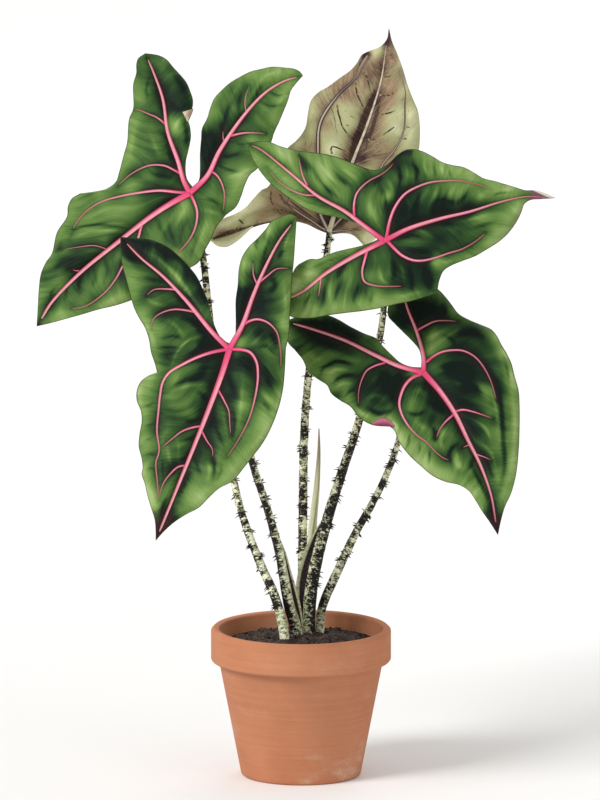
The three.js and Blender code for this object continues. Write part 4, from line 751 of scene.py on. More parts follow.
# %% Two helpers for shader trees
class Knob:
    def __init__(self, finish, socket):
        self.finish, self.socket = finish, socket

    def maths(self, operation, *values):
        return self.finish.node("ShaderNodeMath", {"operation": operation}, dict(enumerate(values)))

    def __add__(self, other):
        return self.maths("ADD", self, other)

    def __sub__(self, other):
        return self.maths("SUBTRACT", self, other)

    def __rsub__(self, other):
        return self.maths("SUBTRACT", other, self)

    def __mul__(self, other):
        return self.maths("MULTIPLY", self, other)

    __radd__, __rmul__ = __add__, __mul__

    def clamp(self):
        return self.maths("MINIMUM", self.maths("MAXIMUM", self, 0.0), 1.0)

    def fade(self, start, end):
        """0 before start, 1 after end, and a smooth step between them."""
        return self.finish.node(
            "ShaderNodeMapRange",
            {"interpolation_type": "SMOOTHSTEP", "clamp": True},
            {"Value": self, "From Min": start, "From Max": end},
        )


class Finish:
    def __init__(self, name, roughness=0.6, **fixed):
        self.material = bpy.data.materials.new(name)
        self.material.use_nodes = True
        self.tree = self.material.node_tree
        self.tree.nodes.clear()
        self.shader = self.tree.nodes.new("ShaderNodeBsdfPrincipled")
        out = self.tree.nodes.new("ShaderNodeOutputMaterial")
        self.tree.links.new(self.shader.outputs[0], out.inputs[0])
        self.shader.inputs["Roughness"].default_value = roughness
        for socket, value in fixed.items():
            self.shader.inputs[socket.replace("_", " ")].default_value = value

    def node(self, kind, settings, values, output=0):
        made = self.tree.nodes.new(kind)
        for key, value in settings.items():
            setattr(made, key, value)
        for key, value in values.items():
            if isinstance(value, Knob):
                self.tree.links.new(value.socket, made.inputs[key])
            else:
                made.inputs[key].default_value = value
        return Knob(self, made.outputs[output])

    def field(self, name, output="Fac"):
        return self.node("ShaderNodeAttribute", {"attribute_name": name}, {}, output)

    def spot(self):
        return self.node("ShaderNodeTexCoord", {}, {}, "Object")

    def scaled(self, vector, x, y, z):
        values = {0: vector, 1: (x, y, z)}
        return self.node("ShaderNodeVectorMath", {"operation": "MULTIPLY"}, values)

    def height(self, vector):
        return self.node("ShaderNodeSeparateXYZ", {}, {"Vector": vector}, 2)

    def bundle(self, x, y, z=0.0):
        return self.node("ShaderNodeCombineXYZ", {}, {"X": x, "Y": y, "Z": z})

    def noise(self, vector, scale, detail=2.0, roughness=0.5, distortion=0.0):
        values = {"Vector": vector, "Scale": scale, "Detail": detail, "Roughness": roughness}
        return self.node("ShaderNodeTexNoise", {}, {**values, "Distortion": distortion})

    def cells(self, vector, scale, feature="F1", output="Distance"):
        values = {"Vector": vector, "Scale": scale}
        return self.node("ShaderNodeTexVoronoi", {"feature": feature}, values, output)

    def mix(self, a, b, share):
        return self.node("ShaderNodeMix", {"data_type": "RGBA"}, {0: share, 6: a, 7: b}, 2)

    def ramp(self, value, stops):
        made = self.node("ShaderNodeValToRGB", {}, {"Fac": value}, "Color")
        band = made.socket.node.color_ramp
        for k, (position, colour) in enumerate(stops):
            stop = band.elements[k] if k < 2 else band.elements.new(position)
            stop.position, stop.color = position, (*colour, 1)
        return made

    def paint(self, colour=None, roughness=None, bump=None, height=0.001):
        """Joins what varies over the surface to the shader."""
        for socket, value in (("Base Color", colour), ("Roughness", roughness)):
            if value is not None:
                self.tree.links.new(value.socket, self.shader.inputs[socket])
        if bump is not None:
            normal = self.node("ShaderNodeBump", {}, {"Height": bump, "Distance": height})
            self.tree.links.new(normal.socket, self.shader.inputs["Normal"])
        return self


paper = Finish("pale floor", 0.9)
speck = paper.noise(paper.spot(), 3.0, 3.0)
paper.paint(paper.ramp(speck, [(0.0, (0.88, 0.875, 0.865)), (1.0, (0.9, 0.897, 0.89))]))
floor.data.materials.append(paper.material)
print("finish:", paper.material.name, len(paper.tree.nodes), "nodes")

# %% [markdown]
# ## The green upper face
# The leaf is painted nearly black along its ribs and round its joint, as shade in the valleys
# where the veins lie, mid green between the veins and yellow-green at its margin. Short strokes
# run from rib to margin, which are the fine side veins. Each blade carries fields for this:
# distance to the nearest vein and to the margin, the place along the margin, the painter's
# shades, which are painted shade and light, the folds and the nearness of the tip. One value,
# the tone, sums them up and picks the colour from a ramp.

# %% Leaf green
def green_finish():
    leaf = Finish("leaf green", 0.5, Specular_IOR_Level=0.07)
    share, stroke = leaf.field("share"), leaf.field("stroke")
    vein, rim, lateral = leaf.field("vein"), leaf.field("rim"), leaf.field("lateral")
    shade, tip = leaf.field("shade"), leaf.field("tip")
    away = share.fade(0.03, 0.14)
    cloud = leaf.noise(leaf.spot(), 24.0, 3.0)
    brush = leaf.noise(leaf.bundle(lateral * 6.0, share * 2.2, vein * 0.03), 1.0, 4.0, 0.6, 0.4)
    wander = (leaf.noise(leaf.spot(), 60.0, 2.0) - 0.5) * 0.35
    wandering = lateral + wander
    # Painted light and shade across each panel between the side veins, as on a quilted blade.
    beat = wandering.maths("FRACT", wandering)
    swell = beat.fade(0.02, 0.62) - beat.fade(0.66, 1.0)
    patchy = leaf.noise(leaf.spot(), 14.0, 2.0).fade(0.36, 0.6)
    quilt = (swell - 0.5) * vein.fade(1.0, 10.0) * away * (0.25 + patchy)
    # Painted shade in the fold valleys and painted highlight on the fold ridges, roughened by brush
    # noise.
    fold_shade_and_brush = stroke + (brush - 0.5) * away * 0.5
    # Painted shade in the valleys beside the veins, the shades as painted shade and light, and the
    # folds painted dark in their valleys and pale on their ridges.
    tone = (
        0.32
        + vein.fade(0.0, 12.0) * 0.2
        + rim.fade(17.0, 2.0) * 0.15
        - vein.fade(3.0, 0.0) * 0.1
        + shade * 0.8
        + stroke * 0.4
        - fold_shade_and_brush.fade(-0.08, -0.6) * 0.2
        + fold_shade_and_brush.fade(0.1, 0.6) * 0.17
        + quilt * 0.08
        + (brush - 0.5) * away * 0.28
        + (cloud - 0.5) * 0.16
    )
    colour = leaf.ramp(
        tone.clamp(),
        [
            (0.0, (0.005, 0.011, 0.008)), (0.2, (0.011, 0.03, 0.012)),
            (0.4, (0.035, 0.088, 0.022)), (0.6, (0.095, 0.185, 0.042)),
            (0.8, (0.185, 0.3, 0.08)), (1.0, (0.32, 0.43, 0.16)),
        ],
    )
    # Painted shade: dark purple in the valleys right beside the veins, where the tone is low.
    vein_shade = vein.fade(6.0, 0.0) * tone.fade(0.5, 0.1)
    colour = leaf.mix(colour, (0.022, 0.01, 0.013, 1), vein_shade * 0.7)
    colour = leaf.mix(colour, (0.03, 0.013, 0.014, 1), tip.fade(0.08, 0.62))
    colour = leaf.mix(colour, (0.035, 0.03, 0.022, 1), rim.fade(1.0, 0.2) * 0.8)
    dry = leaf.field("dry")
    colour = leaf.mix(colour, (0.19, 0.075, 0.12, 1), dry.fade(0.1, 0.4) * 0.9)
    colour = leaf.mix(colour, (0.66, 0.61, 0.5, 1), dry.fade(0.5, 0.75))
    grain = leaf.noise(leaf.spot(), 900.0, 2.0)
    bump = brush * 0.9 * away + leaf.noise(leaf.spot(), 160.0, 2.0) * 0.5 + grain * 0.15
    return leaf.paint(colour, 0.42 + (cloud - 0.5) * 0.15 + grain * 0.1, bump, 0.0011)


leaf_green = green_finish()
print("finish:", leaf_green.material.name, len(leaf_green.tree.nodes), "nodes")

# %% [markdown]
# ## The underside
# From below the same blade is buff green, darkened to purple brown beside its ribs and at its
# foot. The painter's shades and the folds are painted into its tone as shade and light, and the
# lowest tones turn nearly black. A net of fine side veins shows as dark dotted lines: the traced
# strokes first, then fainter ones that follow the rows from rib to margin, so the net bends with
# the blade.

# %% Underside
def underside_finish():
    under = Finish("leaf underside", 0.7, Specular_IOR_Level=0.12)
    share, row, stroke = under.field("share"), under.field("row"), under.field("stroke")
    vein, rim = under.field("vein"), under.field("rim")
    shade, tip, flush = under.field("shade"), under.field("tip"), under.field("dry")
    away = share.fade(0.03, 0.12)
    cloud = under.noise(under.spot(), 34.0, 4.0)
    brown = under.noise(under.scaled(under.spot(), 1.0, 1.0, 0.6), 15.0, 3.0)
    dots = under.noise(under.spot(), 420.0, 2.0)
    lateral = under.field("lateral")
    hatch = under.noise(under.bundle(lateral * 9.0, share * 3.0), 1.0, 3.0, 0.6, 0.3)
    near = vein.fade(5.0, 0.0)
    # The tone takes in the shades and the folds as painted shade and light.
    tone = 0.6 + shade * 0.75 + stroke * 0.25 + (cloud - 0.5) * 0.35 - near * 0.12
    contrast = 0.25 + shade.fade(0.0, -0.4) * 0.4 + stroke.fade(0.0, -0.7) * 0.9
    tone = tone + (hatch - 0.5) * contrast
    colour = under.ramp(
        tone.clamp(),
        [
            (0.0, (0.03, 0.014, 0.018)), (0.2, (0.12, 0.075, 0.06)),
            (0.42, (0.27, 0.215, 0.125)), (0.62, (0.43, 0.43, 0.22)),
            (0.8, (0.54, 0.56, 0.31)), (1.0, (0.78, 0.8, 0.5)),
        ],
    )
    # The tan follows the tone, so it carries the painted shade: darker where the tone is low.
    tan_tone_and_shade = (tone + (hatch - 0.5) * 0.8).fade(0.7, 0.35)
    tan = under.mix((0.36, 0.255, 0.155, 1), (0.17, 0.105, 0.07, 1), tan_tone_and_shade)
    flushed = (flush.fade(0.0, 0.9) * 0.85 + brown.fade(0.5, 0.7) * 0.3).clamp()
    colour = under.mix(colour, tan, flushed)
    # Painted shade: the lowest tones turn nearly black purple.
    colour = under.mix(colour, (0.035, 0.013, 0.018, 1), tone.fade(0.34, 0.05) * 0.9)
    wander = (under.noise(under.spot(), 45.0, 2.0) - 0.5) * 9.0
    march = (row + wander) * 0.075
    line = march.maths("PINGPONG", march, 0.5)
    drawn = line.fade(0.06, 0.015) * away * dots.fade(0.52, 0.64) * rim.fade(1.0, 5.0) * 0.3
    web = under.cells(under.scaled(under.spot(), 1.0, 1.0, 0.7), 95.0, "DISTANCE_TO_EDGE")
    drawn = drawn + web.fade(0.05, 0.015) * dots.fade(0.56, 0.68) * 0.2
    traced = stroke.fade(-0.2, -0.5) * dots.fade(0.3, 0.44)
    grain = dots.fade(0.6, 0.72) * (flush * 0.35 + near * 0.4)
    marks = (drawn * 0.8 + traced * 0.85 + grain).clamp()
    colour = under.mix(colour, (0.06, 0.034, 0.028, 1), marks)
    colour = under.mix(colour, (0.03, 0.014, 0.018, 1), tip.fade(0.2, 0.9))
    bump = (drawn + traced) * -0.6 + cloud * 0.8 + dots * 0.2
    return under.paint(colour, 0.68 + (cloud - 0.5) * 0.1, bump, 0.0009)


leaf_under = underside_finish()
print("finish:", leaf_under.material.name, len(leaf_under.tree.nodes), "nodes")

# %% [markdown]
# ## Laying out a blade
# A blade could be cut from a plane, but its veins and waves then run across the grid. Here rows
# run from the ribs out to the margin, right round the leaf, like the rungs of a ladder. The mesh
# follows the leaf's growth, and the same rows carry its waves. The plain model has a twelfth of
# the rows, and a twentieth for leaf E, by the same rule, so the fine blade passes through it.

# %% Rows from rib to margin
FINE, CELLS = 12, 36  # fine rows to one of the plain model, and cells from rib to margin
ROW_STEP = 19.0  # millimetres of margin to one row of the plain model


def blade_rows(leaf):
    left, right = leaf["lobes"]
    (n0, n1), sinus = leaf["notches"], leaf["sinus"]
    parts = [
        (left, [sinus, *left["inner"], left["tip"]], [left["tip"], *left["outer"], n0]),
        (leaf, [n0, *leaf["sides"][0], leaf["tip"]], [leaf["tip"], *leaf["sides"][1], n1]),
        (right, [n1, *right["outer"], right["tip"]], [right["tip"], *right["inner"][::-1], sinus]),
    ]
    spines, edges, rows = [], [], []
    for part, out, back in parts:
        rib = Line([leaf["joint"], *part["rib"], part["tip"]])
        margins = [Line(out), Line(back)]
        longest = max(line.length for line in margins)
        count = leaf.get("fine", FINE) * max(4, int(longest / ROW_STEP + 0.5))
        share = np.arange(count) / count
        spines += [rib.along(share), rib.along(1 - share)]
        edges += [line.along(share) for line in margins]
        rows += [share * longest, (1 - share) * longest]
    return np.vstack(spines), np.vstack(edges), np.concatenate(rows)


for letter in LETTERS:
    print("leaf", letter, "rows:", len(blade_rows(LEAVES[letter])[0]))

# %% [markdown]
# ## Depth and relief
# The blade leans, its point and its rear lobes bend back, and its margin waves. Between the veins
# the tissue bulges towards the light, and each vein lies in a shallow valley. Distances to the
# veins and to the margin give both the relief and the colours.

# %% Lines, distances and soft places
def vein_lines(leaf):
    """(start width, end width, points) of the ribs and of every vein."""
    ribs = []
    for part, widths in zip((leaf, *leaf["lobes"]), pairs(leaf["rib_widths"])):
        last, tip = np.array([part["rib"][-1], part["tip"]], float)
        ribs.append((*widths, [leaf["joint"], *part["rib"], last + 0.7 * (tip - last)]))
    return ribs + [(start, end, points) for start, end, *points in leaf["veins"]]


def nearest(line, x, y, step=1.5):
    """Distance from each place to a line, and the share of the line where it is nearest."""
    share = np.linspace(0, 1, max(3, int(line.length / step)))
    dots = line.along(share)
    gap = np.hypot(x.ravel()[:, None] - dots[:, 0], y.ravel()[:, None] - dots[:, 1])
    best = gap.argmin(axis=1)
    return gap.min(axis=1).reshape(x.shape), share[best].reshape(x.shape)


def rough(x, y, size, seed):
    """A smooth uneven value between about -1 and 1, from a few crossed waves."""
    draw = np.random.default_rng(seed)
    total = np.zeros_like(x)
    for _ in range(5):
        angle, phase = draw.uniform(0, 2 * math.pi, 2)
        pace = 2 * math.pi / (size * draw.uniform(0.7, 1.4))
        total += np.sin((x * math.cos(angle) + y * math.sin(angle)) * pace + phase)
    return total / 3


def soft_spots(x, y, marks, spread, weight=1.0):
    """The sum of round soft places, each x, y, size and strength."""
    total = np.zeros_like(x)
    for sx, sy, size, strength in marks:
        fall = ((x - sx) ** 2 + (y - sy) ** 2) / (2 * (spread * size) ** 2)
        total += weight * strength * np.exp(-fall)
    return total


def folds(x, y, strokes):
    """Soft valleys and ridges along the traced strokes, strongest at half their length."""
    total = np.zeros_like(x)
    for size, strength, *flat in strokes:
        gap, at = nearest(Line(pairs(flat)), x, y)
        across = np.exp(-((gap / (0.9 * size)) ** 1.7))
        total += strength * across * (0.3 + 0.7 * np.sin(math.pi * at))
    return np.clip(total, -1, 0.8)


print("leaf A's widest vein starts at", max(start for start, _, _ in vein_lines(LEAVES["a"])), "mm")

# %% Fields of a blade
TIP_REACH = {"a": 9, "b": 40, "c": 7, "d": 30, "e": 26}  # how far the dark point goes back


def blade_fields(letter, seed):
    leaf = LEAVES[letter]
    spines, edges, rows = blade_rows(leaf)
    share = np.linspace(0, 1, CELLS + 1)[None, :] ** 0.92
    x = spines[:, :1] + (edges[:, :1] - spines[:, :1]) * share
    y = spines[:, 1:] + (edges[:, 1:] - spines[:, 1:]) * share
    width = np.linalg.norm(edges - spines, axis=1)[:, None]
    vein = np.full(x.shape, 99.0)
    for start, end, points in vein_lines(leaf):
        gap, at = nearest(Line(points), x, y)
        vein = np.minimum(vein, gap - 0.5 * (start + (end - start) * at))
    vein = np.maximum(vein, 0)
    rim = (1 - share) * width
    (jx, jy), (tx, ty) = leaf["joint"], leaf["tip"]
    right, up = x - jx, jy - y
    reach = math.hypot(tx - jx, ty - jy)
    ahead = (right * (tx - jx) - up * (ty - jy)) / reach
    bend = np.where(ahead > 0, *leaf["droop"]) * ahead**2 / 100
    swell = np.minimum(7, 0.12 * width) * np.sin(math.pi * share)
    height, count, start = leaf["wave"]
    turn = 2 * math.pi * count * np.arange(len(rows))[:, None] / len(rows) + start
    wave = np.minimum(height, 0.1 * width) * share**2 * np.sin(turn)
    unrest = 2 * rough(x, y, 90, seed)
    ripple = np.minimum(1.2, 0.03 * width) * share**4 * np.sin(3.1 * turn + unrest)
    lean_x, lean_y = leaf["lean"]
    depth = leaf["depth"] + lean_x * right + lean_y * up + bend - swell + wave
    open_in = np.clip(rim / 6, 0, 1) * np.clip(share * width / 5, 0, 1)
    bulge = 2.0 * (1 - np.exp(-((vein / 6.5) ** 1.6)))
    slant = 16 * share**1.4 * np.minimum(width / 40, 1.3)
    lateral = (rows[:, None] - slant) / 17 + 0.75 * rough(x, y, 75, seed + 1)
    beat = lateral - np.floor(lateral)
    quilt = np.sin(math.pi * beat**1.5) * np.clip(vein / 9, 0, 1)
    stroke = folds(x, y, leaf["strokes"])
    depth = depth + ripple - (bulge + 0.25 * quilt + 0.8 * stroke) * open_in
    shade = soft_spots(x, y, leaf["shades"], 0.85, 0.8)
    tip = np.clip(1 - np.hypot(x - tx, y - ty) / TIP_REACH[letter], 0, 1)
    row = np.broadcast_to(rows[:, None], x.shape)
    spread = np.broadcast_to(share, x.shape)
    dry = np.zeros_like(x)
    if letter == "c":  # its point and the margin beside it have dried
        dry = np.clip((x - 521 + 0.6 * (y - 246)) / 22, 0, 1) * 0.55
        dry = np.maximum(dry, np.clip((x - 530 - 2.2 * (y - 243)) / 14, 0, 1))
    dry = np.clip(dry + soft_spots(x, y, leaf.get("flush", []), 0.8), 0, 1)
    return dict(
        dry=dry, stroke=stroke, x=x, y=y, row=row, share=spread, vein=vein, rim=rim,
        shade=np.clip(shade, -0.7, 0.6), tip=tip, lateral=lateral, depth=depth,
    )


blades = {letter: blade_fields(letter, 7 + k) for k, letter in enumerate(LETTERS)}
for letter, blade in blades.items():
    print("leaf", letter, "grid", blade["x"].shape, "deepest field", blade["vein"].max().round(1))

# %% [markdown]
# ## Turning a grid into a blade
# The middle surface gets a front and a back face. They share their points at the margin, where
# the blade thins to an edge, and meet along the ribs. Close to each point of a leaf the two sides
# of its rib differ in thickness, which leaves a short open slit there. Doubles are merged and the
# normals are turned outwards before anything else is done. The back faces take their own finish.

# %% From points and faces to a piece
THICK = 1.0  # millimetres
THIN_EDGE = 1.6  # the blade thins over this width of its margin, in millimetres
FIELDS = ("row", "share", "vein", "rim", "shade", "tip", "lateral", "stroke", "dry")


def ladder_faces(rows, across):
    """The faces of a grid whose last row meets the first."""
    spot = np.arange(rows * across).reshape(rows, across)
    after = np.roll(spot, -1, axis=0)
    quads = np.stack([spot[:, :-1], after[:, :-1], after[:, 1:], spot[:, 1:]], axis=-1)
    return quads.reshape(-1, 4)


def two_sides(x, y, depth, half):
    """The points of a thin sheet in metres: its front, then its back."""
    return np.vstack([place(x, y, depth + side * half).reshape(-1, 3) for side in (-1, 1)])


def finished_mesh(name, points, faces, finishes, fields, face_finish=None, merge=2e-6):
    mesh = bpy.data.meshes.new(name)
    mesh.from_pydata(points.tolist(), [], [tuple(face) for face in faces])
    for finish in finishes:
        mesh.materials.append(finish.material)
    if face_finish is not None:
        mesh.polygons.foreach_set("material_index", np.asarray(face_finish, np.int32))
    for key, values in fields.items():
        kind = "FLOAT_VECTOR" if np.ndim(values) == 2 else "FLOAT"
        slot = mesh.attributes.new(key, kind, "POINT")
        slot.data.foreach_set("vector" if kind == "FLOAT_VECTOR" else "value", np.ravel(values))
    solid = bmesh.new()
    solid.from_mesh(mesh)
    bmesh.ops.remove_doubles(solid, verts=solid.verts, dist=merge)
    bmesh.ops.dissolve_degenerate(solid, edges=solid.edges, dist=merge)
    bmesh.ops.recalc_face_normals(solid, faces=solid.faces)
    for face in solid.faces:
        face.smooth = True
    open_edges = sum(not edge.is_manifold for edge in solid.edges)
    solid.to_mesh(mesh)
    solid.free()
    piece = bpy.data.objects.new(name, mesh)
    bpy.context.scene.collection.objects.link(piece)
    print(name, len(mesh.polygons), "faces,", open_edges, "open edges")
    return piece


def seat(piece, slot, *nodes):
    """The piece belongs to the plant and stands for these plain solids."""
    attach(piece, "root")
    if nodes:
        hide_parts(*nodes)
    return piece


print("fields of a blade:", *FIELDS)

# %% Blade meshes
def build_blade(letter):
    blade = blades[letter]
    rows, across = blade["x"].shape
    inward = np.clip(blade["rim"] / THIN_EDGE, 0, 1)
    half = 0.5 * THICK * np.sqrt(np.clip(1 - (1 - inward) ** 2, 0, 1))
    points = two_sides(blade["x"], blade["y"], blade["depth"], half)
    quads = ladder_faces(rows, across)
    shift = rows * across
    faces = np.vstack([quads, quads[:, ::-1] + shift])
    fields = {key: np.tile(blade[key].ravel(), 2) for key in FIELDS}
    fields["shade"][shift:] *= 0.5  # the far face is guessed, so it is painted more evenly
    if letter == "e":
        fields["dry"][shift:] = 0  # its flush belongs to the underside alone
    green, under = (0, 1) if letter != "e" else (1, 0)
    side = np.concatenate([np.full(len(quads), green), np.full(len(quads), under)])
    finishes = [leaf_green, leaf_under]
    piece = finished_mesh(f"leaf_{letter}_blade_skin", points, faces, finishes, fields, side)
    slot = "leaf_underside" if letter == "e" else "leaf_green"
    return seat(piece, slot, "leaf_" + letter + "_blade")


for letter in LETTERS:
    build_blade(letter)

# %% [markdown]
# ## Veins
# The ribs and veins of the upper face are rounded pink ridges, broad at the joint and fading into
# the blade at their far ends. Each one is a strip of cross sections that lies on the relief. Rays
# along the line of sight find the blade under every point, so the ridge never floats. The same
# strips on the other side are the stout ribs of the underside.

# %% Ridges on a blade
def surface_finder(letter):
    """A function that gives the blade's depth at places of the sheet."""
    blade = blades[letter]
    corners = np.stack([blade["x"], blade["y"], blade["depth"]], -1).reshape(-1, 3)
    tree = BVHTree.FromPolygons(corners.tolist(), ladder_faces(*blade["x"].shape).tolist())

    def depth_at(x, y):
        found = []
        for px, py in zip(np.ravel(x), np.ravel(y)):
            hit = tree.ray_cast(Vector((px, py, -900)), Vector((0, 0, 1)))[0]
            if hit is None:
                hit = tree.find_nearest(Vector((px, py, found[-1] if found else 0)))[0]
            found.append(hit.z)
        return np.array(found).reshape(np.shape(x))

    return depth_at


def ring_faces(count, ring):
    """The faces of a tube: its skin, ring by ring, and its two ends."""
    spot = np.arange(count * ring).reshape(count, ring)
    beside = np.roll(spot, -1, axis=1)
    quads = np.stack([spot[:-1], beside[:-1], beside[1:], spot[1:]], -1).reshape(-1, 4)
    return quads.tolist() + [spot[0].tolist(), spot[-1].tolist()]


def ridge(depth_at, start, end, points, side, lift, step=1.6):
    """Points, faces and fields of a rounded ridge. side is -1 before the blade and 1 behind it."""
    line = Line(points)
    count = max(6, int(line.length / step))
    t = line.parameter(np.linspace(0, 1, count))
    middle, heading = line.at(t), line.heading(t)
    share = np.linspace(0, 1, count)
    width = 1.15 * (start + (end - start) * share**0.8)
    fade = np.clip((1 - share) * line.length / 7, 0, 1) ** 0.6
    arc = np.linspace(0, math.pi, 9)
    across = np.concatenate([np.cos(arc), [-0.6, 0.6]])
    rise = np.concatenate([np.sin(arc), [-0.7, -0.7]])
    half = 0.5 * (width * (0.35 + 0.65 * fade))[:, None] * across
    x = middle[:, :1] - heading[:, 1:] * half
    y = middle[:, 1:] + heading[:, :1] * half
    height = np.where(rise > 0, rise * (lift * width * fade)[:, None], 0.45 * rise)
    depth = depth_at(x, y) + side * (0.5 * THICK + height - 0.12)
    ring = len(across)
    fields = dict(
        share=np.repeat(share, ring), rise=np.tile(np.maximum(rise, 0), count),
        side=np.tile(across, count), size=np.repeat(width, ring),
    )
    return place(x, y, depth).reshape(-1, 3), ring_faces(count, ring), fields


def gathered(parts):
    """Joins (points, faces, fields) parts into one."""
    points = np.vstack([part[0] for part in parts])
    starts = np.cumsum([0] + [len(part[0]) for part in parts[:-1]])
    faces = [[int(v) + int(s) for v in face] for s, part in zip(starts, parts) for face in part[1]]
    fields = {key: np.concatenate([part[2][key] for part in parts]) for key in parts[0][2]}
    return points, faces, fields


finders = {letter: surface_finder(letter) for letter in LETTERS}
print("leaf A's joint lies at depth", finders["a"]([190.0], [243.0]).round(1))

# %% [markdown]
# ## Rose and buff ribs
# On the upper face the veins are deep rose at the joint and salmon towards their ends, with a
# painted pale highlight on the crest and painted shade at the foot, as if lit from above, and one
# flank painted deeper crimson as its shaded side. The underside's ribs are buff with a purple flush
# in their mottling, and painted nearly black at their foot as shade. The fields of each ridge say
# how far along and how high up its side a place is.

# %% Vein finishes
def vein_finish():
    rose = Finish("rose vein", 0.5, Specular_IOR_Level=0.2)
    share, rise, side = rose.field("share"), rose.field("rise"), rose.field("side")
    thin = rose.field("size").fade(3.1, 1.3)
    mottle = rose.noise(rose.spot(), 260.0, 2.0)
    colour = rose.ramp(
        share + (mottle - 0.5) * 0.12,
        [(0.0, (0.7, 0.06, 0.165)), (0.12, (0.66, 0.09, 0.19)), (0.35, (0.6, 0.15, 0.215)),
         (0.75, (0.53, 0.165, 0.195)), (0.93, (0.4, 0.14, 0.13)), (1.0, (0.2, 0.13, 0.07))],
    )
    # Painted shade: one flank of each ridge is deeper crimson, as its shaded side.
    colour = rose.mix(colour, (0.46, 0.035, 0.09, 1), side.fade(0.1, 0.85) * 0.55)
    far = rose.field("minor") * share.fade(0.35, 0.95)
    colour = rose.mix(colour, (0.27, 0.17, 0.09, 1), far * 0.6)
    # Painted highlight: pale pink along the crest, set a little towards one side.
    crest_highlight = (rise - side * 0.25).fade(0.7, 1.05) * share.fade(0.02, 0.2) * (1 - far * 0.7)
    colour = rose.mix(colour, (0.84, 0.43, 0.48, 1), crest_highlight * (0.62 + (mottle - 0.5) * 0.8).clamp())
    colour = rose.mix(colour, (0.33, 0.075, 0.09, 1), thin * (0.32 + share * 0.3))
    # Painted shade: nearly black at the foot of the ridge, a little more on one side.
    foot = rise.fade(0.75, 0.25) * (0.75 + side.fade(-0.2, 0.9) * 0.2)
    colour = rose.mix(colour, (0.15, 0.01, 0.028, 1), foot)
    return rose.paint(colour, 0.48 + mottle * 0.1, mottle, 0.0003)


def rib_finish():
    buff = Finish("buff rib", 0.6, Specular_IOR_Level=0.3)
    share, rise = buff.field("share"), buff.field("rise")
    mottle = buff.noise(buff.spot(), 180.0, 3.0)
    colour = buff.mix((0.74, 0.69, 0.5, 1), (0.52, 0.42, 0.34, 1), mottle.fade(0.4, 0.7))
    thin = buff.field("minor")
    colour = buff.mix(colour, (0.53, 0.42, 0.36, 1), thin * 0.8)
    # Painted shade nearly black at the foot of each rib. The thinner ribs are also dark along their
    # sides and towards their ends, leaving a pale crest.
    foot = rise.fade(0.6, 0.3) + thin * (rise.fade(0.98, 0.87) + share.fade(0.62, 0.8) * 0.8)
    colour = buff.mix(colour, (0.03, 0.013, 0.016, 1), foot.clamp() * 0.94)
    colour = buff.mix(colour, (0.4, 0.33, 0.22, 1), share.fade(0.8, 1.0) * 0.6)
    return buff.paint(colour, 0.6 + mottle * 0.1, mottle, 0.0004)


def veinlet_finish():
    brown = Finish("dark veinlet", 0.65, Specular_IOR_Level=0.12)
    rise, share = brown.field("rise"), brown.field("share")
    dots = brown.noise(brown.spot(), 420.0, 2.0)
    broken = (dots.fade(0.5, 0.42) + rise.fade(0.5, 0.1)).clamp() * 0.7
    ends = (share.fade(0.75, 1.0) + share.fade(0.25, 0.0)).clamp() * 0.5
    colour = brown.mix((0.045, 0.03, 0.018, 1), (0.31, 0.27, 0.13, 1), (broken + ends).clamp())
    return brown.paint(colour, 0.65 + dots * 0.1, dots, 0.0002)


rose_vein, buff_rib, veinlet = vein_finish(), rib_finish(), veinlet_finish()


print("vein finishes:", *(made.material.name for made in (rose_vein, buff_rib, veinlet)), sep="\n")

# %% Veins of every leaf
LEAF_E_WIDTHS = (0.85, 0.3, 0.1, 1.9, 1.4, 1.4, 1.0)  # its ribs and veins, less or more wide


def build_ridges(letter, side, lift, finish, name, slot, *nodes):
    leaf = LEAVES[letter]
    lines = vein_lines(leaf)
    first_minor, low = 3, False
    if letter == "e":
        first_minor, low = 1, side < 0
    if finish is veinlet:
        lines = [(1.5 * width, 0.9 * width, pairs(flat)) for width, *flat in leaf["fine_veins"]]
    elif letter == "e":
        wide = zip(LEAF_E_WIDTHS, lines)
        lines = [(k * start, k * end, points) for k, (start, end, points) in wide]
    parts = []
    for k, line in enumerate(lines):
        part = ridge(finders[letter], *line, side, lift * (0.5 if k and low else 1))
        part[2]["minor"] = np.full(len(part[0]), float(k >= first_minor))
        parts.append(part)
    points, faces, fields = gathered(parts)
    return seat(finished_mesh(name, points, faces, [finish], fields), slot, *nodes)


for letter in "abcd":
    leaf_name = "leaf_" + letter
    rose_name, plain_veins = leaf_name + "_rose_veins", leaf_name + "_veins"
    build_ridges(letter, -1, 0.32, rose_vein, rose_name, "vein_pink", plain_veins)
    build_ridges(letter, 1, 0.5, buff_rib, leaf_name + "_ribs_beneath", "leaf_underside")
build_ridges("e", 1, 0.32, rose_vein, "leaf_e_rose_veins", "vein_pink")
build_ridges("e", -1, 0.5, buff_rib, "leaf_e_ribs_beneath", "stalk")
build_ridges("e", -1, 0.2, veinlet, "leaf_e_fine_veins", "leaf_underside")

# %% [markdown]
# ## Turned margins
# A real blade isn't neat. Leaf A has a small flap of its margin turned over to the front, leaf D's
# waist shows a crimson bit of underside, and leaf E's left lobe has a rolled edge. Each is a
# little curved sheet between the line where the margin turns and its free edge, seated on the
# blade. Each is painted lighter towards its free edge as a highlight, with painted shade along
# the fold and a dark line at the free edge.

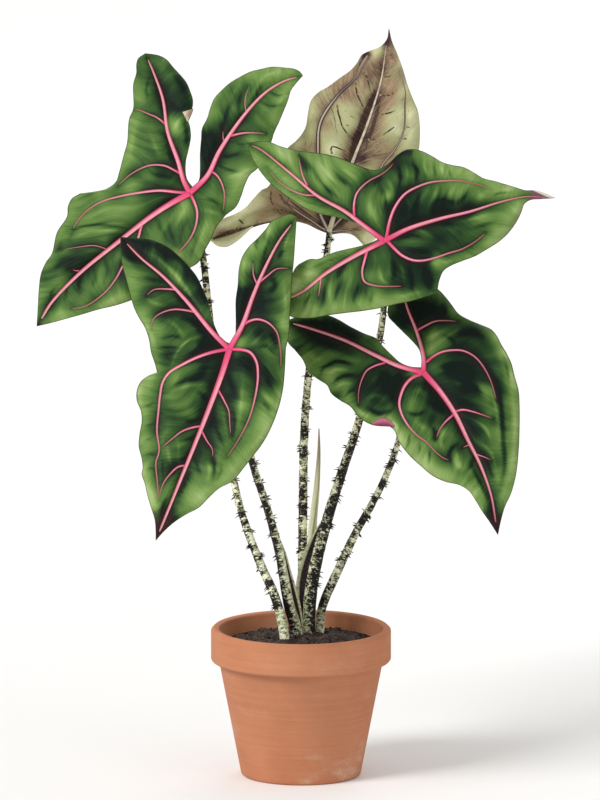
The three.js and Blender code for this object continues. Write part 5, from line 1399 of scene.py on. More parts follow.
# %% Flaps
def flap_finish(name, deep, light, dark):
    skin = Finish(name, 0.6, Specular_IOR_Level=0.25)
    out, along = skin.field("out"), skin.field("along")
    grain = skin.noise(skin.bundle(along * 26.0, out * 3.0), 1.0, 3.0)
    # Painted highlight: lighter from the fold out towards the free edge.
    colour = skin.mix(deep, light, (out.fade(0.15, 0.75) + (grain - 0.5) * 0.9).clamp())
    # Painted shade in the crease along the fold.
    colour = skin.mix(colour, dark, out.fade(0.16, 0.0) * 0.8)
    colour = skin.mix(colour, dark, out.fade(0.93, 1.0) * 0.7)
    return skin.paint(colour, 0.6 + grain * 0.1, grain, 0.0003)


def sheet_faces(rows, across):
    """Both sides of a sheet and the seam that joins them at its first column."""
    spot = np.arange(rows * across).reshape(rows, across)
    quads = np.stack([spot[:-1, :-1], spot[1:, :-1], spot[1:, 1:], spot[:-1, 1:]], -1)
    quads, shift = quads.reshape(-1, 4), rows * across
    seam = np.stack([spot[:-1, 0], spot[1:, 0], spot[1:, 0] + shift, spot[:-1, 0] + shift], -1)
    return np.vstack([quads, quads[:, ::-1] + shift, seam])


def build_flap(letter, name, lift, finish, fold_points, free_points):
    fold, free = Line(fold_points), Line(free_points)
    rows, across = 40, 10
    share, out = np.linspace(0, 1, rows), np.linspace(0, 1, across)[None, :]
    a, b = fold.along(share), free.along(share)
    x = a[:, :1] + (b[:, :1] - a[:, :1]) * out
    y = a[:, 1:] + (b[:, 1:] - a[:, 1:]) * out
    ends = np.sin(math.pi * share)[:, None] ** 0.5
    swell = lift * np.sin(math.pi * out**0.8) + 0.5 * out
    depth = finders[letter](x, y) - 0.5 * THICK - 0.1 - ends * swell
    half = 0.3 * ends * np.sqrt(np.clip(1 - out**6, 0, 1))
    along = share[:, None] * fold.length / 100
    fields = dict(
        out=np.tile((out * np.ones_like(x)).ravel(), 2),
        along=np.tile((along * np.ones_like(x)).ravel(), 2),
    )
    points, faces = two_sides(x, y, depth, half), sheet_faces(rows, across)
    return seat(finished_mesh(name, points, faces, [finish], fields), "leaf_underside")


buff_flap = flap_finish(
    "buff flap", (0.34, 0.24, 0.17, 1), (0.6, 0.47, 0.33, 1), (0.12, 0.07, 0.06, 1)
)
crimson_flap = flap_finish(
    "crimson flap", (0.24, 0.035, 0.08, 1), (0.42, 0.13, 0.19, 1), (0.04, 0.012, 0.02, 1)
)
pale_flap = flap_finish(
    "pale flap", (0.52, 0.5, 0.3, 1), (0.8, 0.8, 0.52, 1), (0.07, 0.04, 0.045, 1)
)
build_flap(
    "a", "leaf_a_turned_margin", 1.2, buff_flap, [[193.5, 158], [192, 163], [188.5, 171]],
    [[182, 161.5], [184, 165], [187.5, 171.5]],
)
build_flap(
    "d", "leaf_d_turned_waist", 1.0, crimson_flap,
    [[371, 474.5], [378, 475.5], [388, 476], [394.5, 476.5]],
    [[371.5, 474], [376, 469.5], [383, 467], [390, 470], [394.5, 476]],
)
build_flap(
    "e", "leaf_e_rolled_margin", 1.6, pale_flap,
    [[210.5, 289.5], [225, 285], [240, 280], [253, 274.5]],
    [[210.8, 290.5], [218, 295.5], [227, 296], [236, 291], [245, 283.5], [253.5, 275.5]],
)

# %% [markdown]
# ## Stalks
# A stalk is a tube along a smooth line in space, thicker at its foot. Its surface carries the
# coordinates of the same stalk pulled straight, so the mottling runs across it in bands however
# it bends. Prickles are fused on in small clusters: thin dark hooked cones.

# %% Stalks, bands and clusters
STALKS = {
    "a": [
        [285, 690, -10, 10], [277, 652, -9, 9.4], [257, 605, -7, 8.4], [241, 560, -5, 7.6],
        [231, 515, -3, 7], [217, 430, -2, 7], [208, 350, -8, 7], [202, 300, -15, 6.8],
        [191, 248, -44, 6],
    ],
    "b": [
        [297, 685, 15, 12], [288, 650, 0, 11], [280, 605, -22, 9], [268, 560, -46, 8],
        [252, 510, -74, 7.4], [240, 455, -106, 7], [229, 403, -174, 6.4],
    ],
    "c": [
        [309, 684, 23, 12], [310, 650, 20, 13], [315, 618, 16, 12], [327, 570, 9, 11],
        [341, 525, 0, 9.4], [356, 480, -10, 8.4], [368, 435, -22, 7.6], [380, 385, -38, 6.6],
        [385, 340, -56, 6.2], [386, 293, -90, 6],
    ],
    "d": [
        [320, 681, 36, 9], [322, 658, 30, 9], [338, 620, 18, 9], [357, 580, 4, 8],
        [375, 548, -10, 7.2], [391, 513, -26, 6.6], [400, 485, -39, 6.2], [413, 450, -56, 6],
        [424, 427, -84, 6],
    ],
    "e": [
        [301, 681, 40, 9], [302, 640, 42, 9], [303, 560, 42, 9], [304, 490, 41, 8.6],
        [308, 430, 40, 7.5], [316, 370, 40, 7], [326, 310, 42, 6.6], [330, 278, 47, 6],
    ],
}
STALK_SEEDS = {"a": 11, "b": 23, "c": 31, "d": 41, "e": 59}
# Painted shade: how much darker a stalk's right side is, then both its sides, as on a round stem.
SIDE_SHADES = {
    "a": (-0.03, 0.02), "b": (-0.07, 0.0), "c": (0.06, 0.03), "d": (0.01, 0.01), "e": (-0.03, 0.02),
}
# Bands across a stalk: top, bottom, how much darker, and the side it leans to.
BANDS = {
    "a": [
        [300, 304, 0.08, 0], [316, 320, 0.08, 0], [328, 332, 0.08, 0],
        [536, 661, -0.04, 0], [561, 566, 0.11, 0], [571, 574, 0.1, 0], [580, 583, 0.11, 0],
        [591, 601, 0.08, -1], [604, 609, 0.12, 0], [617, 623, 0.1, -1], [629, 636, 0.13, 0],
        [644, 657, 0.13, -0.4], [661, 690, -0.1, 0],
    ],
    "b": [
        [507, 600, 0.02, -1], [507, 513, 0.1, 0], [519, 526, 0.08, 0], [533, 537, 0.17, 0],
        [546, 557, 0.06, -1], [557, 561, 0.07, -0.5], [573, 580, 0.1, -1], [586, 593, 0.12, 0],
        [601, 613, 0.11, -1], [600, 680, -0.07, 0.8], [615, 680, 0.07, -1],
    ],
    "c": [
        [490, 560, 0.03, 0.7], [481, 487, 0.1, 1], [499, 504, 0.12, 0], [508, 514, 0.1, 0],
        [520, 529, 0.16, 0], [537, 543, -0.05, -1], [545, 566, 0.05, 0.8], [572, 580, 0.09, 0],
        [543, 640, 0.035, -0.6], [640, 690, -0.03, -0.8], [560, 690, 0.06, 1],
    ],
    "d": [
        [490, 575, -0.04, 0], [613, 661, 0.01, -0.5], [499, 501, 0.12, 0], [509, 514, 0.16, 0],
        [515, 519, 0.08, 0], [529, 537, 0.13, 0], [546, 550, 0.15, 0], [553, 557, 0.06, 0],
        [564, 573, 0.13, 0],
        [577, 589, 0.04, 0], [593, 601, 0.04, 0], [604, 613, 0.03, 0], [575, 661, -0.02, 0],
        [631, 639, 0.07, -1], [646, 656, 0.1, -1], [663, 690, -0.07, 0],
    ],
    "e": [
        [280, 306, -0.08, 0], [280, 306, 0.1, -1],
        [480, 612, -0.02, 0], [478, 487, 0.09, 0], [497, 507, 0.1, 0], [520, 534, 0.02, 0],
        [536, 549, 0.1, -0.8], [557, 566, 0.12, 0], [586, 593, 0.14, 0],
    ],
}
# Clusters of prickles: height on the sheet, and the side: -1 left, 1 right, 0 both.
CLUSTERS = {
    "a": [
        305, 0, 318, 1, 330, -1, 530, 0, 546, -1, 564, -1, 582, 0, 596, -1, 608, 1, 618, -1,
        636, -1, 642, -1, 657, -1,
    ],
    "b": [515, 1, 534, 0, 549, 1, 558, -1, 570, 1, 586, -1, 607, -1, 621, -1],
    "c": [
        486, -1, 492, 1, 499, -1, 522, -1, 528, 1, 533, -1, 547, 1, 575, 1, 578, 1, 625, 1,
        636, 1,
    ],
    "d": [
        501, -1, 510, 1, 517, -1, 534, 1, 548, 0, 565, 0, 568, 1, 578, -1, 585, 1, 603, 1, 611, -1,
    ],
    "e": [
        290, 1, 296, -1, 302, -1, 483, 0, 500, -1, 503, 1, 532, 1, 547, 0, 558, -1, 570, 0,
        588, 0, 598, 0, 603, -1,
    ],
}
print("stalks:", {letter: len(points) for letter, points in STALKS.items()}, "points")

# %% Tubes
STALK_DEPTH = 34.0  # millimetres below the top of the soil
MOST_FLANK = 0.085  # no place is darkened or paled by more
HELD_ROWS = 24  # rings at a stalk's top that keep clear of the blade


def stem(points):
    """The line of a stem in metres, carried into the soil, and its radius at a parameter."""
    places = place(*np.array(points, float)[:, :3].T)
    foot = places[0].copy()
    foot[2] = (SOIL_TOP - STALK_DEPTH) / 1000
    radii = np.array([points[0][3], *[point[3] for point in points]]) / 2000
    line = Line(np.vstack([foot, places]))
    return line, lambda t: np.interp(t, np.linspace(0, 1, len(radii)), radii)


def stem_frame(line, t):
    along = line.heading(t)
    side = np.cross([0.0, 1.0, 0.0], along)
    side /= np.linalg.norm(side, axis=-1, keepdims=True)
    return line.at(t), along, side, np.cross(along, side)


def skin_points(middle, side, front, angle, radius):
    """Points round each place of a line, in metres."""
    ring = side[:, None] * np.cos(angle)[..., None] + front[:, None] * np.sin(angle)[..., None]
    return middle[:, None] + ring * radius[..., None]


def pulled_straight(radius, angle, height):
    """The same skin's coordinates with the line pulled straight and upright."""
    flat = [radius * np.cos(angle), radius * np.sin(angle), height[:, None] + 0 * radius]
    return np.stack(flat, -1).reshape(-1, 3)


def tube(letter, line, radius_at, seed, collars, sides=28, step=0.0015):
    count = int(line.length / step)
    share = np.linspace(0, 1, count)
    t = line.parameter(share)
    middle, _, side, front = stem_frame(line, t)
    angle = np.linspace(0, 2 * math.pi, sides, endpoint=False)
    reach = share * line.length * 1000
    up_and_round = np.broadcast_arrays(reach[:, None], 12 * np.cos(angle))
    lumps = 1 + 0.035 * rough(*up_and_round, 22, seed)
    radius = radius_at(t)[:, None] * lumps
    radius[[0, -1]] *= 0.75
    points = skin_points(middle, side, front, angle, radius)
    top = slice(count - HELD_ROWS, count)
    x, y, depth = unplace(points[top])
    blade = finders[letter](x, y)
    held = np.minimum(depth, blade - 0.2) if letter == "e" else np.maximum(depth, blade + 0.2)
    points[top] = place(x, y, held)
    # Painted shade down one side and at both edges of the round stalk, then the bands and the
    # darker collars at the prickles.
    shade_one_side, shade_both_sides = SIDE_SHADES[letter]
    side_shade_and_bands = shade_one_side * np.cos(angle) + shade_both_sides * (np.cos(angle) ** 2 - 0.5) + 0 * radius
    sheet_y = unplace(middle)[1][:, None]
    for start, end, strength, turned in BANDS[letter]:
        within = 1 / (1 + np.exp(start - sheet_y)) / (1 + np.exp(sheet_y - end))
        side_shade_and_bands += strength * within * (1 + turned * np.cos(angle)) / (1 + abs(turned))
    for height in collars:
        side_shade_and_bands += 0.03 * np.exp(-(((reach / 1000 - height) / 0.0025) ** 2))[:, None]
    side_shade_and_bands = MOST_FLANK * np.tanh(side_shade_and_bands / MOST_FLANK)
    fields = dict(
        straight=pulled_straight(radius, angle, share * line.length),
        prickle=np.zeros(side_shade_and_bands.size), side_shade_and_bands=side_shade_and_bands.ravel(),
    )
    return points.reshape(-1, 3), ring_faces(count, sides), fields


stems = {letter: stem(points) for letter, points in STALKS.items()}
print("stalk lengths:", {letter: round(line.length, 3) for letter, (line, _) in stems.items()})

# %% Prickles
HOOK_SIDES = 5


def hook(root, out, along, size, radius):
    """One prickle: a thin cone that bends down the stalk."""
    side = np.cross(out, along)
    side /= np.linalg.norm(side)
    lift = np.cross(side, out)
    drop = 0.22 * size
    rings, angle = [], np.linspace(0, 2 * math.pi, HOOK_SIDES, endpoint=False)[:, None]
    for share in (0.0, 0.35, 0.7):
        middle = root + out * (size * share) - lift * (drop * share**2)
        wide = radius * (1 - share) ** 0.7
        rings.append(middle + wide * (np.cos(angle) * side + np.sin(angle) * lift))
    points = np.vstack([*rings, root + out * size - lift * drop])
    last, faces = len(points) - 1, [list(range(HOOK_SIDES))]
    for i in range(HOOK_SIDES):
        j = (i + 1) % HOOK_SIDES
        for k in (0, HOOK_SIDES):
            faces.append([k + i, k + j, k + HOOK_SIDES + j, k + HOOK_SIDES + i])
        faces.append([2 * HOOK_SIDES + i, 2 * HOOK_SIDES + j, last])
    return points, faces


def clusters(letter, line, draw):
    """(height, side) of every cluster: where they are drawn, and evenly on the hidden stretches."""
    drawn = np.reshape(CLUSTERS[letter], (-1, 2))
    sheet_y = unplace(line.at(line.t))[1]
    found = [(float(np.interp(-y, -sheet_y, line.reach)), side) for y, side in drawn]
    at = found[-1][0]
    while at < line.length - 0.016:
        if min(abs(at - height) for height, _ in found) > 0.02:
            found.append((at, 0))
        at += 0.011 + 0.008 * draw.random()
    return found


def prickles(letter, line, radius_at, seed):
    """Clusters of prickles and the heights where they stand."""
    draw = np.random.default_rng(seed)
    parts, collars = [], []
    for number, (at, facing) in enumerate(clusters(letter, line, draw)):
        for k in range(int(draw.integers(4, 6))):
            t = float(line.parameter((at + 0.004 * draw.random()) / line.length))
            middle, along, side, front = stem_frame(line, np.array([t]))
            angle = math.pi * (facing < 0 if facing else k % 2) + draw.uniform(-0.8, 0.8)
            if k == 3:
                angle = 2.4 * number
            out = side[0] * math.cos(angle) + front[0] * math.sin(angle)
            out = out + along[0] * 0.6 * (draw.random() - 0.55)
            out /= np.linalg.norm(out)
            radius = float(radius_at(t))
            size = 0.0022 + 0.0032 * draw.random()
            root = middle[0] + out * (radius - 0.0009)
            points, faces = hook(root, out, along[0], size + 0.0009, 0.0008)
            at_root = [radius * math.cos(angle), radius * math.sin(angle), at]
            straight = np.tile(at_root, (len(points), 1))
            reach = np.concatenate([np.repeat([0.0, 0.6, 1.0], HOOK_SIDES), [1.0]])
            fields = dict(straight=straight, prickle=reach, side_shade_and_bands=np.zeros(len(points)))
            parts.append((points, faces, fields))
        collars.append(at + 0.002)
    return parts, collars


print("drawn clusters:", {letter: len(flat) // 2 for letter, flat in CLUSTERS.items()})

# %% [markdown]
# ## The mottled skin
# The stalks are cream green with nearly black purple bands, the mark of this species. Three scales
# of noise on the straight coordinates make them: bands a finger's width long, patches within them
# and thin cross streaks that break both up. Near the soil small round dots come in between. Each
# stalk is also painted darker down one side and at both edges, as shade on a round stem.

# %% Stalk finish
def stalk_finish():
    skin = Finish("mottled stalk", 0.55, Specular_IOR_Level=0.16)
    straight = skin.field("straight", "Vector")
    prickle, side_shade_and_bands = skin.field("prickle"), skin.field("side_shade_and_bands")
    height = skin.height(straight)
    band = skin.noise(skin.scaled(straight, 22.0, 22.0, 52.0), 1.0, 1.0)
    patch = skin.noise(skin.scaled(straight, 190.0, 190.0, 300.0), 1.0, 2.0, 0.5, 0.4)
    streak = skin.noise(skin.scaled(straight, 420.0, 420.0, 900.0), 1.0, 3.0, 0.6, 0.5)
    foot = height.fade(0.2, 0.04)
    # The level takes in the painted side shade along with the bands.
    level = band * 0.2 + patch * 0.34 + streak * 0.46 + side_shade_and_bands
    dots = skin.cells(skin.scaled(straight, 380.0, 380.0, 430.0), 1.0).fade(0.34, 0.24)
    dots = dots * (0.35 + foot * 0.65) * patch.fade(0.36, 0.46)
    dark = level.fade(0.495, 0.53)
    colour = skin.mix((0.86, 0.88, 0.66, 1), (0.48, 0.54, 0.28, 1), patch.fade(0.4, 0.62) * 0.85)
    colour = skin.mix(colour, (0.17, 0.155, 0.08, 1), level.fade(0.44, 0.51) * 0.7)
    colour = skin.mix(colour, (0.03, 0.018, 0.02, 1), dots)
    colour = skin.mix(colour, (0.006, 0.004, 0.006, 1), dark * 0.97)
    colour = skin.mix(colour, (0.016, 0.009, 0.012, 1), prickle.fade(0.05, 0.5))
    return skin.paint(colour, 0.5 + streak * 0.12, streak * 0.5 + dark * -0.3, 0.0004)


mottled = stalk_finish()
stalk_nodes = {letter: "leaf_" + letter + "_stalk" for letter in "abcd"}
stalk_nodes["e"] = "leaf_e_stalk_and_ribs"
for letter, (line, radius_at) in stems.items():
    thorns, collars = prickles(letter, line, radius_at, STALK_SEEDS[letter])
    skin = tube(letter, line, radius_at, STALK_SEEDS[letter], collars)
    points, faces, fields = gathered([skin, *thorns])
    piece = finished_mesh(f"leaf_{letter}_mottled_stalk", points, faces, [mottled], fields)
    seat(piece, "stalk", stalk_nodes[letter])

# %% [markdown]
# ## Two sheaths
# At its foot a stalk spreads into a sheath that wraps the next leaf while that is small. Two are
# open: one lies beside leaf B's stalk with a pale rolled edge, the other stands off leaf C's stalk,
# hollow towards the viewer and dark inside, and the new leaf rises out of it. Each is a curved
# sheet between the stalk's own line and a free edge drawn on the sheet.

# %% Sheaths
def sheath_finish():
    skin = Finish("sheath", 0.5, Specular_IOR_Level=0.4)
    straight = skin.field("straight", "Vector")
    edge, inside = skin.field("edge"), skin.field("inside")
    patch = skin.noise(skin.scaled(straight, 120.0, 120.0, 90.0), 1.0, 2.0, 0.5, 0.3)
    streak = skin.noise(skin.scaled(straight, 260.0, 260.0, 500.0), 1.0, 3.0, 0.6)
    level = patch * 0.6 + streak * 0.4
    colour = skin.mix((0.5, 0.52, 0.3, 1), (0.2, 0.2, 0.11, 1), level.fade(0.4, 0.5))
    colour = skin.mix(colour, (0.02, 0.01, 0.015, 1), level.fade(0.5, 0.56) * 0.9)
    purple = skin.mix((0.022, 0.01, 0.016, 1), (0.1, 0.06, 0.06, 1), streak.fade(0.45, 0.75))
    colour = skin.mix(colour, purple, inside)
    colour = skin.mix(colour, (0.62, 0.64, 0.42, 1), edge.fade(0.74, 0.84) * streak.fade(0.7, 0.52))
    colour = skin.mix(colour, (0.05, 0.03, 0.03, 1), edge.fade(0.95, 1.0) * 0.8)
    return skin.paint(colour, 0.5 + streak * 0.1, streak, 0.0004)


sheath_skin = sheath_finish()


def build_sheath(letter, belly, roll, foot_depth, edge_points):
    line, _ = stems[letter]
    sx, sy, sd = unplace(line.at(np.linspace(0, 1, 300)))
    order = np.argsort(sy)
    edge = Line(edge_points)
    rows, across = 70, 16
    free = edge.along(np.linspace(0, 1, rows))
    y = free[:, 1]
    root_x, root_depth = (np.interp(y, sy[order], v[order])[:, None] for v in (sx, sd))
    u, down = np.linspace(0, 1, across)[None, :], np.linspace(0, 1, rows)[:, None]
    open_up = np.clip(down * 3.5, 0, 1)
    x = root_x + (free[:, :1] - root_x) * u
    y = np.broadcast_to(y[:, None], x.shape)
    bulge = belly * np.sin(math.pi * u**0.8) + roll * u**3
    depth = root_depth + open_up * bulge + down * foot_depth * u
    half = 0.45 * np.sqrt(np.clip(1 - (np.clip(u - 0.9, 0, 1) * 10) ** 2, 0, 1)) * np.ones_like(x)
    half[[0, -1]] = 0
    straight = np.stack([x, depth, -y], -1).reshape(-1, 3) / 1000
    inside = np.zeros((2, rows, across))
    inside[0] = 1.0  # the side towards the viewer
    fields = dict(
        straight=np.vstack([straight, straight]), inside=inside.ravel(),
        edge=np.tile((u * np.ones_like(x)).ravel(), 2),
    )
    points, faces = two_sides(x, y, depth, half), sheet_faces(rows, across)
    name = f"leaf_{letter}_sheath"
    return seat(finished_mesh(name, points, faces, [sheath_skin], fields), "stalk")


build_sheath("b", 2.0, -2.0, 0.0, pairs([
    276, 578, 281, 590, 286, 602, 291, 620, 297, 640, 301, 656, 303.5, 676, 304, 690,
]))
build_sheath("c", 4.5, -1.5, 3.0, pairs([
    321, 571, 315, 580, 309, 591, 303, 606, 298.5, 620, 296, 636, 297, 652, 300, 690,
]))

# %% [markdown]
# ## The new leaf
# The youngest leaf is still rolled up into a spear. In section it is a scroll: its radius grows
# round the turn and drops back at the free edge, which runs up the spear as a fine seam that
# winds slowly. The tip is brown and drawn out thin.

# %% Spear
SPEAR = [
    [312, 684, 35, 6], [311, 650, 34, 8], [311, 610, 33, 9.4], [313, 575, 32, 9],
    [317, 535, 31, 6.6], [319, 500, 30, 3.6], [319, 478, 29, 1.2],
]
SEAM = 0.96  # the free edge of the scroll lies at this share of a turn


def spear_finish():
    skin = Finish("rolled leaf", 0.5, Specular_IOR_Level=0.35)
    straight, seam = skin.field("straight", "Vector"), skin.field("seam")
    height = skin.height(straight)
    grain = skin.noise(skin.scaled(straight, 900.0, 900.0, 30.0), 1.0, 3.0)
    cloud = skin.noise(skin.scaled(straight, 120.0, 120.0, 40.0), 1.0, 2.0)
    top = height.fade(0.16, 0.235)
    colour = skin.mix((0.66, 0.68, 0.44, 1), (0.42, 0.44, 0.24, 1), grain.fade(0.45, 0.62) * 0.7)
    flush = top * 0.75 + (cloud - 0.5) * top * 0.8 + (grain - 0.5) * top.fade(0.0, 0.3) * 1.2
    colour = skin.mix(colour, (0.25, 0.17, 0.11, 1), flush.clamp())
    colour = skin.mix(colour, (0.085, 0.05, 0.035, 1), seam * (0.55 + top * 0.4))
    return skin.paint(colour, 0.5 + grain * 0.1, grain, 0.0003)


def build_spear():
    line, radius_at = stem(SPEAR)
    sides, count = 40, 200
    share = np.linspace(0, 1, count)
    t = line.parameter(share)
    middle, _, side, front = stem_frame(line, t)
    turn = np.linspace(0, 1, sides, endpoint=False)
    angle = 2 * math.pi * turn[None, :] + (-2.5 + 2.1 * share)[:, None]
    scroll = 0.82 + 0.18 * turn**0.6 + 0.0 * share[:, None]
    scroll = np.where(turn[None, :] > SEAM, 0.9, scroll)
    radius = radius_at(t)[:, None] * scroll
    radius[0] *= 0.7
    points = skin_points(middle, side, front, angle, radius).reshape(-1, 3)
    seam = np.broadcast_to((turn < 0.01) | (turn > SEAM), radius.shape).astype(float)
    straight = pulled_straight(radius, angle, share * line.length)
    fields, faces = dict(straight=straight, seam=seam.ravel()), ring_faces(count, sides)
    piece = finished_mesh("rolled_new_leaf", points, faces, [spear_finish()], fields)
    return seat(piece, "new_leaf", "new_leaf_spear")


build_spear()

# %% [markdown]
# ## The clay pot
# A thrown pot is a turned shape, so it could be a spun profile. Here it is raised as on the
# wheel: a disc for the foot, then each ring of the wall is an extrusion that is moved up and
# resized, over the rim band and down inside. The last face is the floor. Four drain holes are
# cut with a boolean, and a bevel softens the edges.

# %% Pot
FOOT_RADIUS = 58
POT_RINGS = [  # radius and height of each ring, in millimetres
    (60, 2), (82, 116), (88, 116), (90, 118), (90, 147), (87, 150), (82, 149), (81, 146),
    (76, 114), (56, 9),
]
HOLES, HOLE_CIRCLE, HOLE_RADIUS = 4, 0.032, 0.006


def edit(piece):
    """Opens the piece in edit mode with all of it selected."""
    bpy.ops.object.select_all(action="DESELECT")
    bpy.context.view_layer.objects.active = piece
    piece.select_set(True)
    bpy.ops.object.mode_set(mode="EDIT")
    bpy.ops.mesh.select_all(action="SELECT")


def disc(vertices, radius, height):
    bpy.ops.mesh.primitive_circle_add(
        vertices=vertices, radius=radius / 1000, fill_type="NGON", location=(0, 0, height / 1000)
    )
    edit(bpy.context.active_object)
    return bpy.context.active_object


def repaint(piece, finish):
    piece.data.materials.clear()
    piece.data.materials.append(finish.material)


def build_pot():
    pot = disc(128, FOOT_RADIUS, 0)
    radius, height = FOOT_RADIUS, 0
    for next_radius, next_height in POT_RINGS:
        move = (0, 0, (next_height - height) / 1000)
        bpy.ops.mesh.extrude_region_move(TRANSFORM_OT_translate={"value": move})
        grow = next_radius / radius
        bpy.ops.transform.resize(value=(grow, grow, 1), center_override=(0, 0, next_height / 1000))
        radius, height = next_radius, next_height
    bpy.ops.mesh.select_all(action="SELECT")
    bpy.ops.mesh.remove_doubles(threshold=1e-6)
    bpy.ops.mesh.normals_make_consistent(inside=False)
    bpy.ops.object.mode_set(mode="OBJECT")
    drills = []
    for k in range(HOLES):
        angle = math.pi / 4 + k * math.pi / 2
        spot = (HOLE_CIRCLE * math.cos(angle), HOLE_CIRCLE * math.sin(angle), 0.004)
        bpy.ops.mesh.primitive_cylinder_add(
            vertices=32, radius=HOLE_RADIUS, depth=0.03, location=spot
        )
        drills.append(bpy.context.active_object)
    bpy.context.view_layer.objects.active = pot
    for drill in drills:
        cut = pot.modifiers.new("drain hole", "BOOLEAN")
        cut.operation, cut.object, cut.solver = "DIFFERENCE", drill, "EXACT"
        bpy.ops.object.modifier_apply(modifier=cut.name)
        bpy.data.objects.remove(drill)
    soften = pot.modifiers.new("soft edges", "BEVEL")
    soften.width, soften.segments, soften.limit_method = 0.0008, 3, "ANGLE"
    bpy.ops.object.select_all(action="DESELECT")
    pot.select_set(True)
    bpy.ops.object.modifier_apply(modifier=soften.name)
    bpy.ops.object.shade_smooth_by_angle(angle=math.radians(35))
    pot.name = pot.data.name = "thrown_clay_pot"
    return seat(pot, "clay", "clay_pot")


pot = build_pot()
print("pot:", len(pot.data.polygons), "faces")

# %% Fired clay
def clay_finish():
    clay = Finish("fired clay", 0.85, Specular_IOR_Level=0.3)
    spot = clay.spot()
    rings = clay.noise(clay.scaled(spot, 6.0, 6.0, 420.0), 1.0, 3.0, 0.6)
    cloud = clay.noise(spot, 16.0, 4.0, 0.6)
    grain = clay.noise(spot, 1100.0, 3.0)
    height = clay.height(spot)
    colour = clay.ramp(
        (cloud - 0.5) * 0.8 + rings * 0.35 + 0.32,
        [(0.0, (0.33, 0.125, 0.06)), (0.5, (0.5, 0.2, 0.1)), (1.0, (0.6, 0.29, 0.165))],
    )
    bloom = clay.noise(clay.scaled(spot, 14.0, 14.0, 26.0), 1.0, 5.0, 0.65).fade(0.54, 0.72)
    low = (height.fade(0.07, 0.0) * 0.5 + 0.12) * bloom
    colour = clay.mix(colour, (0.72, 0.62, 0.52, 1), low * grain.fade(0.3, 0.6))
    damp = height.fade(0.128, 0.108) * height.fade(0.02, 0.1) * cloud.fade(0.45, 0.65)
    colour = clay.mix(colour, (0.27, 0.105, 0.06, 1), damp * 0.3)
    speck = clay.cells(spot, 520.0).fade(0.16, 0.05)
    colour = clay.mix(colour, (0.2, 0.085, 0.05, 1), speck * 0.5)
    bump = rings * 0.7 + grain * 0.25 + speck * -0.4
    return clay.paint(colour, 0.82 + grain * 0.1, bump, 0.0005)


repaint(pot, clay_finish())
print("finish:", pot.data.materials[0].name)

# %% [markdown]
# ## Soil
# Potting soil is dark, crumbly and a little uneven, higher round the stalks. Its top starts as a
# disc that is inset ring by ring, its wall is extruded down into the pot, and the rings are then
# lifted by two crossed waves and roughened. Crumbs of bark and peat are one small angular stone,
# copied with its own size and turn for each place.

# %% Soil
SOIL_RADIUS, SOIL_EDGE = 78, 133  # the radius of its top and the height of its edge
INSETS, INSET = 50, 0.0015


def soil_height(x, y):
    """Height of the soil in millimetres at a place of the frame, by the plain model's rule."""
    r = np.hypot(x, y)
    mound = SOIL_TOP + 1 + (SOIL_EDGE - SOIL_TOP - 1) * (r / 80) ** 2
    waves = 1.1 * np.sin(0.27 * x + 1.4 * np.sin(0.19 * y))
    return mound + (waves + 0.9 * np.sin(0.33 * y + 1.2 * np.sin(0.23 * x + 1))) * (r < 77.5)


def build_soil():
    soil = disc(180, SOIL_RADIUS, SOIL_EDGE)
    bpy.ops.mesh.extrude_region_move(TRANSFORM_OT_translate={"value": (0, 0, 0.0005)})
    for _ in range(INSETS):
        bpy.ops.mesh.inset(thickness=INSET, depth=0)
    bpy.ops.mesh.poke()
    bpy.ops.object.mode_set(mode="OBJECT")
    count = len(soil.data.vertices)
    points = np.empty(count * 3)
    soil.data.vertices.foreach_get("co", points)
    points = points.reshape(-1, 3)
    top = points[:, 2] > 0.0003
    x, y = points[top, 0] * 1000, points[top, 1] * 1000
    r = np.hypot(x, y)
    loose = 0.5 * rough(x, y, 6, 3) + 0.35 * rough(x, y, 2.6, 4)
    loose = loose * np.clip((SOIL_RADIUS - r) / 3, 0, 1)
    points[top, 2] = (soil_height(x, y) + loose) / 1000 - SOIL_EDGE / 1000
    low = ~top
    turn = np.arctan2(points[low, 1], points[low, 0])
    foot = [0.0755 * np.cos(turn), 0.0755 * np.sin(turn), 0 * turn - 0.021]
    points[low] = np.stack(foot, -1)
    soil.data.vertices.foreach_set("co", points.ravel())
    soil.data.transform(Matrix.Translation((0, 0, SOIL_EDGE / 1000)))
    soil.location = (0, 0, 0)
    bpy.ops.object.shade_smooth()
    soil.name = soil.data.name = "potting_soil"
    return seat(soil, "soil", "soil")


soil = build_soil()
print("soil:", len(soil.data.polygons), "faces")

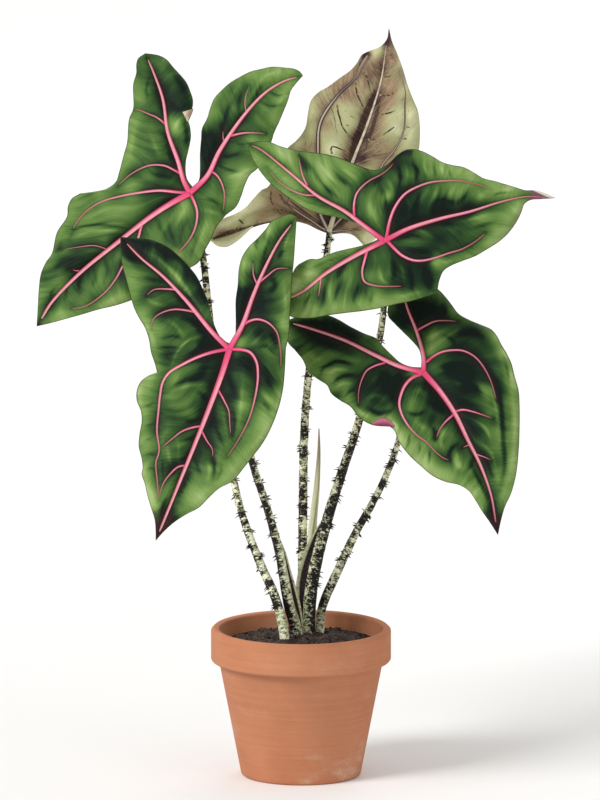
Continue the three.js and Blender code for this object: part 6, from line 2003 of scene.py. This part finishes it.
# %% Crumbs and the colour of earth
def build_crumbs(amount=1500):
    bpy.ops.mesh.primitive_ico_sphere_add(subdivisions=1, radius=1, location=(0, 0, 0))
    stone = bpy.context.active_object
    edit(stone)
    bpy.ops.transform.vertex_random(offset=0.3, seed=5)
    bpy.ops.object.mode_set(mode="OBJECT")
    shape = np.array([v.co for v in stone.data.vertices])
    faces = [tuple(p.vertices) for p in stone.data.polygons]
    bpy.data.objects.remove(stone)
    draw = np.random.default_rng(17)
    parts = []
    for _ in range(amount):
        r, turn = 76.5 * math.sqrt(draw.random()), draw.uniform(0, 2 * math.pi)
        x, y = r * math.cos(turn), r * math.sin(turn)
        size = 0.5 + 1.7 * draw.random() ** 3
        spin = np.array(Matrix.Rotation(draw.uniform(0, 6.28), 3, Vector(draw.normal(size=3))))
        stretch = size * draw.uniform([0.7, 0.7, 0.45], [1.5, 1.1, 0.8])
        body = (shape * stretch) @ spin.T
        lift = soil_height(np.array(x), np.array(y)) + 0.15 * size
        points = (body + [x, y, float(lift)]) / 1000
        parts.append((points, faces, dict(hue=np.full(len(points), draw.random()))))
    points, faces, fields = gathered(parts)
    piece = finished_mesh("soil_crumbs", points, faces, [soil_finish(True)], fields, merge=1e-8)
    for face in piece.data.polygons:
        face.use_smooth = False
    return seat(piece, "soil")


def soil_finish(crumbs):
    earth = Finish("soil crumbs" if crumbs else "soil", 0.95, Specular_IOR_Level=0.2)
    spot = earth.spot()
    cloud = earth.noise(spot, 90.0, 4.0, 0.6)
    grain = earth.noise(spot, 700.0, 3.0)
    lumps = earth.cells(spot, 260.0)
    uneven = earth.field("hue") * 0.45 - 0.2 if crumbs else lumps * 0.2 - 0.08
    colour = earth.ramp(
        cloud * 0.6 + grain * 0.3 + uneven,
        [(0.15, (0.012, 0.008, 0.009)), (0.4, (0.035, 0.024, 0.022)), (0.6, (0.085, 0.06, 0.05)),
         (0.85, (0.2, 0.155, 0.12))],
    )
    return earth.paint(colour, 0.92 + (grain - 0.5) * 0.1, grain * 0.6 + lumps * -0.5, 0.0008)


repaint(soil, soil_finish(False))
crumbs = build_crumbs()
print("crumbs:", len(crumbs.data.polygons), "faces")

# %% [markdown]
# ## The rootstock
# Under the soil all the stalks grow from one knobbed stump. It is hidden, so the plain solid stays
# and only gets a finish: brown fibrous bark with pale rings where old leaves dropped.

# %% Rootstock finish
def root_finish():
    bark = Finish("rootstock", 0.9, Specular_IOR_Level=0.2)
    spot = bark.spot()
    fibre = bark.noise(bark.scaled(spot, 500.0, 500.0, 60.0), 1.0, 3.0)
    rings = bark.noise(bark.scaled(spot, 20.0, 20.0, 300.0), 1.0, 2.0)
    colour = bark.ramp(
        fibre * 0.6 + rings * 0.4,
        [(0.3, (0.035, 0.02, 0.014)), (0.5, (0.11, 0.062, 0.038)), (0.7, (0.24, 0.16, 0.1))],
    )
    return bark.paint(colour, 0.88 + fibre * 0.1, fibre + rings, 0.0006)


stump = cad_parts["rootstock"]
repaint(stump, root_finish())
print("rootstock keeps its", len(stump.data.polygons), "plain faces")
